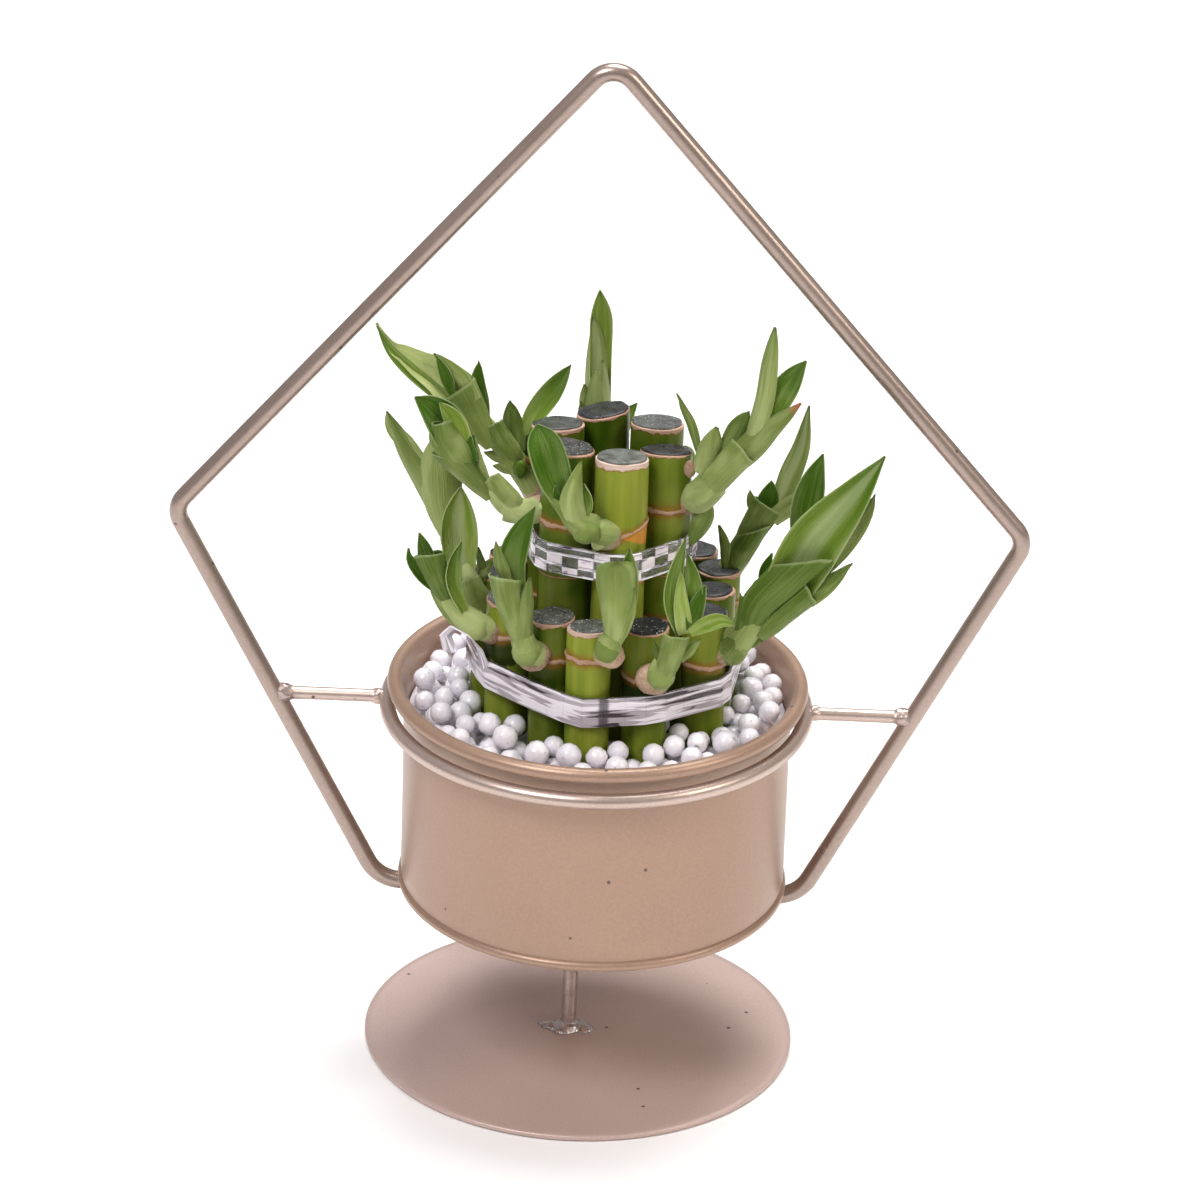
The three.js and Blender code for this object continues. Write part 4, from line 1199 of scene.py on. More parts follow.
def make_strap(tier, strap):
    """A ring on the taut outline, raised row by row, given its thickness, then its facets."""
    walked = strap["outline"]
    rows = len(strap["rows"])
    only()
    bpy.ops.mesh.primitive_circle_add(vertices=len(walked), radius=MM, location=(0, 0, strap["z"] * MM))
    piece = begin("strap_" + tier)
    for vertex, corner in zip(piece.data.vertices, walked):
        vertex.co.xy = corner * MM
    bpy.ops.object.mode_set(mode="EDIT")
    bpy.ops.mesh.select_mode(type="VERT")
    bpy.ops.mesh.select_all(action="SELECT")
    for rise in strap["rows"]:
        bpy.ops.mesh.extrude_region_move(TRANSFORM_OT_translate={"value": (0, 0, rise * MM)})
    bpy.ops.mesh.select_all(action="SELECT")
    bpy.ops.mesh.normals_make_consistent(inside=False)
    bpy.ops.object.mode_set(mode="OBJECT")
    thicken(piece, STRAP_THICK)
    bpy.ops.object.mode_set(mode="EDIT")
    bpy.ops.mesh.select_mode(type="FACE")
    bpy.ops.mesh.select_all(action="DESELECT")
    bpy.ops.object.mode_set(mode="OBJECT")
    heights = np.cumsum([strap["z"], *strap["rows"]])
    middles = [(a + b) / 2 * MM for a, b in zip(walked, walked[1:] + walked[:1])]
    for face in piece.data.polygons:
        face.select = face.index < len(walked) * rows
        if face.select:
            row = int(np.searchsorted(heights, face.center.z / MM)) - 1
            column = min(range(len(middles)), key=lambda k: (middles[k] - face.center.xy).length)
            face.material_index = facet_finish(tier, row, column, rows)
    bpy.ops.object.mode_set(mode="EDIT")
    bpy.ops.mesh.inset(
        thickness=strap["inset"] * MM, depth=strap["rise"] * MM, use_individual=True)
    bpy.ops.mesh.select_mode(type="VERT")
    bpy.ops.object.mode_set(mode="OBJECT")
    return piece


def wind_length(piece, strap):
    """Write on each vertex how far round and how far up the strap it is."""
    points = coordinates(piece) / MM
    corners = np.array([tuple(corner) for corner in strap["outline"]])
    steps = np.hypot(*np.diff(np.vstack([corners, corners[:1]]), axis=0).T)
    run = np.concatenate([[0], np.cumsum(steps)])
    nearest = np.linalg.norm(points[:, None, :2] - corners[None], axis=2).argmin(1)
    turn = run[nearest] / run[-1] * 2 * math.pi
    reach = run[-1] / (2 * math.pi)
    paint_value(piece, "around_x", np.cos(turn) * reach)
    paint_value(piece, "around_y", np.sin(turn) * reach)
    paint_value(piece, "up", points[:, 2] - strap["z"])


for tier, strap in STRAPS.items():
    strap["piece"] = make_strap(tier, strap)
    wind_length(strap["piece"], strap)
    shown = [face.material_index for face in strap["piece"].data.polygons]
    print(tier, "faces: clear", shown.count(CLEAR), "silvered", shown.count(SILVERED),
          "milky", shown.count(MILKY), "film", shown.count(FILM))

# %% Strap plastics
# Facets carry painted reflections: white glints and dark streaks over a lilac body, stretched along
# the strap. Where the lower strap is bent sharply at the front, it is dark.
CORNER_SPOT = Vector((2.2, -38))
CLEAR_TINTS = ((0.99, 0.98, 1.0), (0.95, 0.94, 0.97), (0.70, 0.68, 0.74))
SILVER_TINTS = ((0.97, 0.95, 0.98), (0.56, 0.52, 0.58), (0.055, 0.04, 0.075))
MILKY_TINTS = ((0.90, 0.82, 0.87), (0.82, 0.73, 0.79), (0.40, 0.33, 0.42))
FILM_TINTS = ((0.91, 0.87, 0.94), (0.46, 0.42, 0.46), (0.06, 0.05, 0.06))


def strap_plastic(name, tints, stretch, roughness, transmission=0.0, corner=None):
    """Painted glints and dark reflections, streaked along and up the strap over a middle colour."""
    plastic = Finish(name)
    light, middle, dark = tints
    around_x = plastic.number("around_x")
    around_y = plastic.number("around_y")
    along, upward = stretch
    reflection_streaks = plastic.noise(
        plastic.joined(plastic.times(around_x, along), plastic.times(around_y, along),
                       plastic.times(plastic.number("up"), upward)), 1.0, 2, 0.5)
    # Painted highlight and reflection: high streaks take the light glint colour, low ones the dark one.
    colour = plastic.mix(plastic.ramp(reflection_streaks, 0.50, 0.56), middle, light)
    colour = plastic.mix(plastic.ramp(reflection_streaks, 0.41, 0.36), colour, dark)
    if corner is not None:
        off_x = plastic.unsigned(plastic.minus(around_x, corner[0]))
        off_y = plastic.unsigned(plastic.minus(around_y, corner[1]))
        bent = plastic.ramp(plastic.plus(off_x, off_y), 2.2, 0.9, True)
        colour = plastic.mix(plastic.times(bent, 0.85), colour, dark)
    plastic.feed(Base_Color=colour, Roughness=roughness, Transmission_Weight=transmission)
    plastic.bumps(reflection_streaks, 0.5 * MM, 0.5)
    return plastic


line = STRAPS["outer"]["outline"]
corner_index = min(range(len(line)), key=lambda k: (line[k] - CORNER_SPOT).length)
corner_turn = corner_index / len(line) * 2 * math.pi
wound_reach = len(line) * (line[1] - line[0]).length / (2 * math.pi)
front_corner = (math.cos(corner_turn) * wound_reach, math.sin(corner_turn) * wound_reach)
clear_plastic = strap_plastic("clear_plastic", CLEAR_TINTS, (0.3, 1.2), 0.03, 0.95)
silver_plastic = strap_plastic("silver_plastic", SILVER_TINTS, (0.16, 1.5), 0.10)
milky_plastic = strap_plastic("milky_plastic", MILKY_TINTS, (0.12, 0.4), 0.14)
film_plastic = strap_plastic("film_plastic", FILM_TINTS, (0.065, 0.70), 0.10, corner=front_corner)
for tier, strap in STRAPS.items():
    place(strap["piece"], "clear_band", ["band_" + tier],
          clear_plastic, silver_plastic, milky_plastic, film_plastic)

# %% [markdown]
# ## The end of the lower strap
#
# The lower strap is closed at the left, and its short end stands up twisted over the beads. It is
# a flat grid whose rows are laid along a few places seen in the photograph, and turned as they go.

# %% Strap end
TAIL_PLACES = [
    (486, 672, -16.5), (479, 650, -18), (469, 636, -18.5),
    (455, 627, -18), (446, 636, -17.5), (450, 652, -17),
]
TAIL_WIDTH = 3.4
TAIL_THICK = 0.4
TAIL_TWIST = (40, 190)               # degrees at its two ends
TAIL_STREAKS = (30, -60.0)           # its own part of the film's pattern

only()
bpy.ops.mesh.primitive_grid_add(x_subdivisions=3, y_subdivisions=30, size=1)
tail = begin("strap_tail")
bends = [seen(*place_seen) for place_seen in TAIL_PLACES]
grid = coordinates(tail)
for vertex, (u, v) in zip(tail.data.vertices, grid[:, :2]):
    share = float(v) + 0.5
    walk = share * (len(bends) - 1)
    k = min(int(walk), len(bends) - 2)
    on = walk - k
    ease = on * on * (3 - 2 * on)
    twist = math.radians(TAIL_TWIST[0] + (TAIL_TWIST[1] - TAIL_TWIST[0]) * share)
    aside = right * math.cos(twist) + back * math.sin(twist)
    vertex.co = bends[k].lerp(bends[k + 1], (on + ease) / 2) + aside * float(u) * TAIL_WIDTH * MM
thicken(tail, TAIL_THICK)
smooth(tail, 40)
paint_value(tail, "around_x", np.tile(grid[:, 1], 2) * TAIL_STREAKS[0])
paint_value(tail, "around_y", np.full(len(tail.data.vertices), TAIL_STREAKS[1]))
paint_value(tail, "up", np.tile(grid[:, 0], 2) * TAIL_WIDTH)
place(tail, "clear_band", ["band_outer"], film_plastic)

# %% [markdown]
# ## How a shoot is made
#
# A shoot has a stem, rolled sheaths round it and blades that grow out of them. All three are laid
# along a route: a smooth line through a few places. Most places are a pixel of the photograph and
# a depth, since that is how a leaf was read; what the front of the plant hides is given in mm.
#
# A leaf starts as a flat grid. Its rows are spread along the route and each is bent to an arc
# across: a shallow one for a blade, more than a full turn for a sheath. Then it gets its thickness.

# %% Routes
LEAF_COLUMNS = 10
LEAF_ROWS = 26
LEAF_THICKNESS = 0.32
ROUTE_STEPS = 16
VIEWER = back.normalized()


def spot(place):
    """A place of a route, in metres: seen in the photograph, or a Vector in mm."""
    return place * MM if isinstance(place, Vector) else seen(*place)


class Route:
    """A smooth line through places, with directions that face the viewer at each share of it."""

    def __init__(self, places):
        knots = [spot(place) for place in places]
        knots = [knots[0] * 2 - knots[1]] + knots + [knots[-1] * 2 - knots[-2]]
        line = []
        for k in range(1, len(knots) - 2):
            p0, p1, p2, p3 = knots[k - 1:k + 3]
            for step in range(ROUTE_STEPS):
                s = step / ROUTE_STEPS
                bend = (p0 * -1 + p1 * 3 - p2 * 3 + p3) * s ** 3
                bend += (p0 * 2 - p1 * 5 + p2 * 4 - p3) * s ** 2
                line.append(p1 + (bend + (p2 - p0) * s) / 2)
        line.append(knots[-2])
        self.line = np.array([tuple(point) for point in line])
        steps = np.linalg.norm(np.diff(self.line, axis=0), axis=1)
        self.run = np.concatenate([[0], np.cumsum(steps)])
        self.length = float(self.run[-1])

    def point(self, share):
        here = share * self.length
        return Vector([float(np.interp(here, self.run, self.line[:, axis])) for axis in range(3)])

    def frame(self, share, turn=0.0):
        """The point, the way on, the side and the facing direction, turned about the way on."""
        ahead = (self.point(min(share + 0.02, 1)) - self.point(max(share - 0.02, 0))).normalized()
        facing = (VIEWER - ahead * VIEWER.dot(ahead)).normalized()
        side = ahead.cross(facing)
        spin = math.radians(turn)
        facing, side = (facing * math.cos(spin) + side * math.sin(spin),
                        side * math.cos(spin) - facing * math.sin(spin))
        return self.point(share), ahead, side, facing


print("a route is a smooth line of", ROUTE_STEPS, "steps between two places")

# %% A leaf from a grid
leaf_count = 0


def paint_leaf(piece, inner, across, along, pale, bark=0.0, brown_tip=0.0, trimmed=0.0, middle_sheen=0.0):
    """The numbers that the leaf material reads."""
    count = len(piece.data.vertices)
    paint_value(piece, "inner", np.broadcast_to(inner, count))
    paint_value(piece, "across", across)
    paint_value(piece, "along", along)
    paint_value(piece, "pale", np.full(count, pale))
    paint_value(piece, "bark", np.broadcast_to(bark, count))
    paint_value(piece, "brown_tip", np.full(count, brown_tip))
    paint_value(piece, "trimmed", np.full(count, trimmed))
    paint_value(piece, "middle_sheen", np.full(count, middle_sheen))
    paint_value(piece, "own", np.full(count, leaf_count * 0.37 % 1))


def leaf(route, width, shape, bend, turn=0.0, twist=0.0, flat=1.0, middle=1.0, cut=None,
         pale=0.3, brown_tip=0.0, wave=0.18, middle_sheen=0.0):
    """A grid laid along a route. shape and bend give the share of the width and the arc, in
    degrees, at each share of the length; cut shortens each column at a trimmed end."""
    global leaf_count
    leaf_count += 1
    path = Route(route)
    only()
    bpy.ops.mesh.primitive_grid_add(x_subdivisions=LEAF_COLUMNS, y_subdivisions=LEAF_ROWS, size=1)
    piece = begin(f"leaf_{leaf_count}")
    flat_grid = coordinates(piece)
    across = flat_grid[:, 0] * 2
    along = flat_grid[:, 1] + 0.5
    shift = Vector((leaf_count * 3.7, leaf_count * 1.3, 0))
    for vertex, u, v in zip(piece.data.vertices, across, along):
        share = float(v) * (cut(float(u)) if cut else 1.0)
        centre, ahead, side, facing = path.frame(share, turn + twist * share)
        arc = math.radians(max(bend(share), 4.0))
        chord = width * max(shape(share), 0.02)
        radius = chord / 2 / math.sin(min(arc, math.pi) / 2) * (1 + 0.06 * u * (arc > math.pi))
        angle = arc / 2 * float(u)
        ripple = noise.noise(Vector((float(u) * 1.2, share * 5, 0)) + shift) * wave * abs(u) ** 2
        out = radius * (middle - math.cos(angle)) * flat + ripple
        vertex.co = centre + (side * radius * math.sin(angle) + facing * out) * MM
    thicken(piece, LEAF_THICKNESS)
    inner = np.repeat([1.0, 0.0], len(across))
    trimmed = float(cut is not None)
    paint_leaf(piece, inner, np.tile(across, 2), np.tile(along, 2), pale, 0.0, brown_tip, trimmed, middle_sheen)
    return piece


print("a leaf is a grid of", LEAF_COLUMNS, "by", LEAF_ROWS)


# %% Blades and sheaths
def blade(route, width, turn=0.0, twist=0.0, cup=60, pale=0.25, widest=0.4, foot=0.5, point=2.0,
          draw=1.0, brown_tip=0.0, middle_sheen=0.0):
    """A leaf blade: it widens from its foot and narrows to a point, which draw pulls out long."""

    def shape(share):
        if share < widest:
            return foot + (1 - foot) * math.sin(math.pi / 2 * share / widest)
        return (1 - ((share - widest) / (1 - widest)) ** point) ** draw

    return leaf(route, width, shape, lambda share: cup, turn, twist, pale=pale, brown_tip=brown_tip, middle_sheen=middle_sheen)


def sheath(route, widths, turn=175.0, wrap=385, flat=0.85, slant=0.2, jag=0.04, pale=0.4, lean=0.0):
    """A rolled sheath with a trimmed end. slant makes it shorter behind, and lean (from -1 to 1)
    makes one side shorter than the other."""
    widest = max(widths)
    stops = [k / (len(widths) - 1) for k in range(len(widths))]
    seed = leaf_count * 2.3

    def cut(u):
        ragged = noise.noise(Vector((u * 2.6, seed, 0))) * jag
        uneven = lean * math.sin(math.pi / 2 * u * max(1, wrap / 180)) - abs(lean)
        return 1 - slant * abs(u) ** 1.6 + ragged - jag / 2 + uneven

    def shape(share):
        pinch = 0.7 + 0.3 * math.sin(math.pi / 2 * min(share / 0.3, 1))
        return float(np.interp(share, stops, widths)) / widest * pinch

    return leaf(route, widest, shape, lambda share: wrap, turn, flat=flat, middle=0.0, cut=cut, pale=pale,
                wave=0.05)


print("blades come to a point, and sheaths are rolled and trimmed")


# %% Stems and knobs
KNOB_DENTS = 0.3


def stem(route, radii, pale=0.5, foot=0.16, sides=24, rings=30):
    """A round-ended tube whose radius goes along a list of values, with bark at its foot."""
    global leaf_count
    leaf_count += 1
    path = Route(route)
    shares = [k / (rings - 1) for k in range(rings)]
    stops = [k / (len(radii) - 1) for k in range(len(radii))]
    profile = [(radii[0] * 0.4, -0.01)]
    for share in shares:
        swollen = 1 + 0.12 * math.exp(-((share / foot) ** 2))
        dome = math.sqrt(1 - (max(share - 0.8, 0) / 0.205) ** 2)
        profile.append((float(np.interp(share, stops, radii)) * swollen * dome, share * 10))
    profile.append((profile[-1][0] * 0.4, 10.01))
    tube = turned(f"stem_{leaf_count}", profile, sides)
    points = coordinates(tube)
    along = np.clip(points[:, 2] / (10 * MM), 0, 1)
    for vertex, share in zip(tube.data.vertices, along):
        centre, ahead, side, facing = path.frame(float(share))
        lump = 1 + noise.noise(vertex.co * 300 + Vector((leaf_count, 0, 0))) * 0.1
        vertex.co = centre + (side * vertex.co.x + facing * vertex.co.y) * lump
    angle = np.arctan2(points[:, 1], points[:, 0]) / math.pi
    paint_leaf(tube, 0.0, angle * 0.8, along * 0.8, pale, np.clip(1.5 - along / foot, 0, 1))
    return tube


def knob(place, size, bark=0.8, pale=0.3):
    """A small uneven knob, green or of dry bark (dark from 1.5 on): half sizes across, deep, high."""
    global leaf_count
    leaf_count += 1
    only()
    bpy.ops.mesh.primitive_ico_sphere_add(subdivisions=3, radius=MM)
    lump = begin(f"knob_{leaf_count}")
    lump.data.transform(Matrix.Translation(spot(place)) @ Matrix.Diagonal((*size, 1)))
    for vertex in lump.data.vertices:
        spread = vertex.co * 700
        dent = [noise.noise(spread + Vector((0, 0, shift))) for shift in (11.3, 22.6, 33.9)]
        vertex.co += Vector(dent) * KNOB_DENTS * MM
    count = len(lump.data.vertices)
    paint_leaf(lump, 0.0, np.zeros(count), np.full(count, 0.5), pale, bark)
    return lump


print("stems have a round end, and knobs are dented balls")

# %% [markdown]
# ## The leaf skin
#
# One material dresses every shoot. The face of a blade is a deep shiny green, its back and the
# sheaths are paler, and each piece says how pale it is; the palest go whitish, partly by a painted
# sheen. Fine veins run lengthwise, with broad patches of painted sheen and broad dark patches.
# Then come a painted sheen down the middle of some blades, the dark tip, the dry brown tip of one
# leaf, the pale margin and trimmed end, and last the bark of knobs and of the feet of stems.

# %% Leaf skin
leaf_skin = Finish("leaf_skin")
across = leaf_skin.number("across")
along = leaf_skin.number("along")
bark = leaf_skin.number("bark")
trimmed = leaf_skin.number("trimmed")
own = leaf_skin.times(leaf_skin.number("own"), 40.0)
from_middle = leaf_skin.unsigned(across)
leaf_grain = leaf_skin.group(grain_group, Fine_Scale=1400.0, Broad_Scale=160.0)
vein_place = leaf_skin.joined(leaf_skin.times(across, 13.0), leaf_skin.times(along, 0.9), own)
veins = leaf_skin.noise(vein_place, 1.6, 3)
patch_place = leaf_skin.joined(leaf_skin.times(across, 1.5), leaf_skin.times(along, 1.3), own)
patches = leaf_skin.noise(patch_place, 1.4, 1)

paler_foot = leaf_skin.plus(leaf_skin.times(along, -0.35), 0.2)
pale = leaf_skin.plus(leaf_skin.number("pale"), paler_foot)
face = leaf_skin.mix(pale, (0.030, 0.094, 0.0006), (0.34, 0.46, 0.06))
under = leaf_skin.mix(pale, (0.066, 0.116, 0.014), (0.33, 0.405, 0.125))
green = leaf_skin.mix(leaf_skin.number("inner"), under, face)
# The palest pieces go whitish: partly their own pale colour, partly a painted sheen.
milky = leaf_skin.times(leaf_skin.ramp(pale, 0.5, 1.0), 0.55)
green = leaf_skin.mix(milky, green, (0.52, 0.56, 0.31))

# Veins are a lighter green; the broad light patches below are a painted sheen in the same colour.
vein_and_sheen_green = leaf_skin.mix(0.7, green, (0.54, 0.60, 0.28))
darker = leaf_skin.mix(0.5, green, (0.02, 0.05, 0.002))
vein_mask = leaf_skin.ramp(veins, 0.42, 0.68)
green = leaf_skin.mix(leaf_skin.times(vein_mask, 0.16), green, vein_and_sheen_green)
# Painted sheen: broad light patches, strongest on the paler pieces.
painted_sheen_patch = leaf_skin.times(leaf_skin.ramp(patches, 0.42, 0.68, True), leaf_skin.ramp(pale, -0.3, 0.7))
green = leaf_skin.mix(leaf_skin.times(painted_sheen_patch, 0.5), green, vein_and_sheen_green)
dark_patch = leaf_skin.ramp(patches, 0.42, 0.22, True)
green = leaf_skin.mix(leaf_skin.times(dark_patch, 0.45), green, darker)

# Painted sheen: a whitish green streak down the middle of some blades.
painted_middle_sheen = leaf_skin.times(leaf_skin.ramp(from_middle, 0.5, 0.12, True), leaf_skin.number("middle_sheen"))
green = leaf_skin.mix(painted_middle_sheen, green, (0.50, 0.56, 0.33))
dark_tip = leaf_skin.times(leaf_skin.ramp(along, 0.93, 1.0, True), leaf_skin.minus(1.0, trimmed))
green = leaf_skin.mix(leaf_skin.times(dark_tip, 0.6), green, (0.045, 0.06, 0.015))
brown_tip = leaf_skin.times(leaf_skin.ramp(along, 0.8, 0.98, True), leaf_skin.number("brown_tip"))
green = leaf_skin.mix(brown_tip, green, (0.38, 0.13, 0.07))
end_line = leaf_skin.times(leaf_skin.ramp(along, 0.955, 0.985), trimmed)
margin = leaf_skin.sum("MAXIMUM", leaf_skin.ramp(from_middle, 0.92, 0.97), end_line)
green = leaf_skin.mix(leaf_skin.times(margin, 0.28), green, (0.52, 0.60, 0.32))

brown = leaf_skin.mix(leaf_grain["Broad"], (0.24, 0.11, 0.05), (0.55, 0.38, 0.28))
brown = leaf_skin.mix(leaf_skin.times(leaf_grain["Fine"], 0.5), brown, (0.62, 0.50, 0.40))
brown = leaf_skin.mix(leaf_skin.ramp(bark, 1.1, 1.5), brown, (0.13, 0.05, 0.02))
ragged_bark = leaf_skin.times(leaf_skin.minus(leaf_grain["Broad"], 0.5), 0.5)
ragged_bark = leaf_skin.ramp(leaf_skin.plus(bark, ragged_bark), 0.42, 0.58)
dull = leaf_skin.plus(leaf_skin.times(veins, 0.2), 0.26)
leaf_skin.feed(
    Base_Color=leaf_skin.mix(ragged_bark, green, brown), Roughness=dull,
    Specular_IOR_Level=0.25, Specular_Tint=(0.85, 1.0, 0.3))
leaf_skin.bumps(leaf_skin.plus(vein_mask, leaf_grain["Height"]), 0.22 * MM, 0.5)
print("leaf skin has", len(leaf_skin.nodes), "nodes")

# %% [markdown]
# ## The shoots
#
# Each shoot leaves its cane at a node, where a pinkish ring marks the bark. Its pieces are listed
# from the ring outwards: stem, sheaths, blades. Widths are in mm as seen from the front.

# %% Shoot helper
DARK = -0.25                         # how pale a dark young blade is


def make_shoot(name, *pieces):
    """Join the pieces of a shoot, which then stands for its solid."""
    shoot = join("leaves_" + name, *pieces)
    smooth(shoot, 50)
    place(shoot, "leaf", ["shoot_" + name], leaf_skin)


print("a shoot is joined from stems, knobs, sheaths and blades")

# %% Shoot at the front of the tall tier
make_shoot(
    "front_left",
    stem([(607, 533, -18.5), (602, 533, -22), (592, 532, -24)], [4.3, 3.8, 2.8], 0.6, foot=0.45),
    knob((598, 542, -23.2), (1.9, 2.0, 2.2), 0.0, 0.8),
    knob((586, 532, -25.6), (3.6, 3.0, 3.2), 0.0, 0.3),
    blade([(598, 536, -24.6), (588, 531, -27), (575, 523, -27.6), (562, 510, -27.2), (547, 496, -26)],
          8.0, 165, cup=150, pale=0.45, widest=0.12, foot=0.85, point=1.2),
    blade([(570, 512, -24.5), (556, 482, -25), (546, 452, -24), (537, 424.5, -20.5)],
          9.2, 8, cup=75, pale=0.0, widest=0.62, foot=0.4, point=3.2),
    blade([(581, 528, -27), (573, 503, -28), (576, 481, -27), (581, 461, -25)],
          6.6, 190, cup=150, pale=0.55, widest=0.2, foot=0.8, point=1.5),
    blade([(584, 520, -25.5), (588, 503, -25), (583.5, 484, -24.5)], 2.6, -20, pale=0.2),
    blade([(563, 507, -25.5), (557, 496, -25.8), (555.5, 485, -25.8)], 2.0, 0, pale=DARK),
)

# %% Tall shoot at the left of the tall tier
make_shoot(
    "left_high",
    stem([(541, 500, 2), (528, 480, 1), (512, 456, 0), (492, 433, -1), (474, 410, -2)],
         [3.4, 3.3, 3.0, 2.6, 2.0], 0.45),
    knob((530, 461, -2), (1.1, 1.0, 1.3), 1.6),
    knob((520, 469, -3), (1.9, 1.2, 2.6), 0.0, -0.5),
    sheath([(516, 460, -0.5), (503, 442, -1), (489, 420, -1.5)],
           (6.0, 6.0, 5.4), 160, 220, slant=0.1, pale=0.15),
    sheath([(491, 446, -2.5), (474, 416, -3), (456, 385, -3.5)],
           (4.4, 8.0, 10.6), 178, 350, 0.5, 0.06, 0.07, 0.35),
    blade([(461, 396, -2.8), (441, 378, -3.2), (420, 365, -3.8), (404, 354, -4.2), (391, 346, -4.5),
           (376.5, 323, -4.5)], 11.0, 10, cup=70, pale=0.95, widest=0.05, foot=0.95, point=1.5, draw=1.4),
    blade([(447, 400, -5), (428, 385, -5.4), (408, 368, -5.6), (390, 349, -5.4), (377, 326, -4.8)],
          3.9, 0, cup=40, pale=0.2, widest=0.3, foot=0.9),
    blade([(474, 401, -4.6), (463, 383, -4.6), (450, 368, -4.6), (434, 353, -4.6)],
          4.4, 165, cup=70, pale=0.4, widest=0.3, foot=0.8),
    blade([(452, 394, -6), (445, 374, -6), (436.5, 356, -5.6)], 3.0, 0, pale=DARK, widest=0.4),
    blade([(488, 432, -0.5), (482, 402, -1), (477.5, 382, -1), (479, 361, -1)],
          3.8, 15, cup=60, pale=0.0, widest=0.62, foot=0.3),
    blade([(517, 452, 1), (513, 430, 1), (511.5, 415, 0.5), (510.5, 400, 0)],
          5.3, 170, cup=90, pale=0.05, widest=0.4, foot=0.7, point=2.0),
    blade([(528, 460, 3), (526, 446, 3), (530, 433, 3)], 3.2, 170, pale=DARK),
    blade([(520, 456, 5), (533, 418, 11), (552, 391, 15), (571, 364.5, 17)],
          5.8, 5, cup=50, pale=0.15, widest=0.6, foot=0.35),
    blade([(512, 460, -1.5), (498, 457, -2), (484, 451.5, -2)], 2.8, 160, pale=0.5),
    blade([(514, 472, -1.5), (504, 468, -2), (493, 465, -2)], 2.6, 160, pale=0.6),
)

# %% Second shoot at the left of the tall tier
make_shoot(
    "left_mid",
    stem([(545, 508, -8), (525, 511, -11), (505, 502, -12), (488, 480, -13)],
         [3.2, 3.3, 2.9, 2.4], 0.8),
    knob((544, 507, -11.5), (1.6, 1.2, 1.5), 0.4, 1.0),
    sheath([(531, 511, -10), (513, 511, -12), (499, 506, -13)], (5.8, 5.4), 200, 200, slant=0.2, pale=0.95),
    sheath([(518, 506, -12), (504, 492, -13), (488, 474, -13.5)],
           (5.0, 5.0, 4.0), 170, 220, slant=0.15, pale=0.45),
    sheath([(490, 497, -13.5), (472, 477, -14.3), (456, 460, -15), (440, 442, -15.7)],
           (3.4, 4.8, 6.4, 7.0), 168, 360, 0.6, 0.05, 0.04, 0.15, 0.22),
    sheath([(463, 464, -14.8), (451, 447, -15.4), (444, 436, -15.7), (441, 419, -16)],
           (7.8, 8.0, 7.3, 4.0), 178, 350, 0.5, 0.06, 0.06, 0.2),
    blade([(467, 466, -13), (456, 445, -13.3), (447, 429, -13.6), (438, 417, -14), (428, 407, -14.3),
           (415, 397, -14.5)], 10.0, 15, cup=95, pale=0.0, widest=0.5, foot=0.6, point=2.3),
    blade([(468, 462, -14.2), (460, 438, -14.5), (453, 420, -14.5), (440, 402.5, -14.6)],
          5.6, 10, cup=80, pale=0.45, widest=0.45, foot=0.6, point=2.4),
    blade([(486, 480, -13.5), (479, 463, -13.5), (476, 448, -13), (474.4, 434.5, -12.5)],
          2.8, 150, pale=0.5, widest=0.3, foot=0.8),
    blade([(475, 462, -14.6), (470, 447, -14.6), (471, 435, -14.4)], 2.4, 0, pale=DARK),
)

# %% Shoot at the right of the tall tier
make_shoot(
    "right_high",
    stem([(686, 500, -6.5), (699, 495, -9), (722, 472, -11), (741, 450, -12)],
         [3.6, 4.1, 3.4, 2.8], 0.6),
    sheath([(690, 503, -9), (706, 492, -11), (719, 478, -12)], (8.4, 7.0), 190, 220, slant=0.2, pale=0.65),
    sheath([(706, 491, -11.5), (727, 468, -13.2), (749, 445, -14.6)],
           (6.8, 7.2, 7.6), 175, slant=0.35, pale=0.45),
    blade([(728, 464, -13.2), (752, 444, -14), (771, 427, -14.4), (787, 415, -14.6), (801, 403, -14.6)],
          7.4, 178, cup=140, pale=0.3, widest=0.2, foot=0.9, point=1.6, brown_tip=1.0),
    blade([(750, 446, -13.3), (763, 400, -13.5), (769, 362, -13), (775, 327, -12.5)],
          4.7, 160, cup=120, pale=0.5, widest=0.3, foot=0.9, point=3.4),
    blade([(768, 395, -12.6), (772, 365, -12.3), (776, 329, -12)], 2.6, 10, pale=0.1),
    blade([(771, 420, -12.8), (780, 398, -12.3), (794, 376, -11.8), (806, 361, -11.5)],
          6.6, 0, pale=0.05, widest=0.45),
    blade([(700, 456, -8), (692, 426, -7), (682, 405, -6), (677, 393, -5.5)], 2.2, 170, pale=0.2),
    blade([(700, 474, -11), (708, 454, -11.8), (717, 427, -12)],
          5.6, 178, cup=150, pale=0.6, widest=0.4, foot=0.8),
    blade([(724, 457, -11), (736, 432, -11.3), (749, 411, -11)],
          5.0, 178, cup=120, pale=0.1, widest=0.5, foot=0.7),
    knob((690, 469, -9.5), (1.7, 1.2, 2.4), 1.25, 0.8),
    blade([(703, 498, -9.5), (704, 516, -11), (690, 546, -12.5)], 5.0, 175, cup=120, pale=0.15),
)

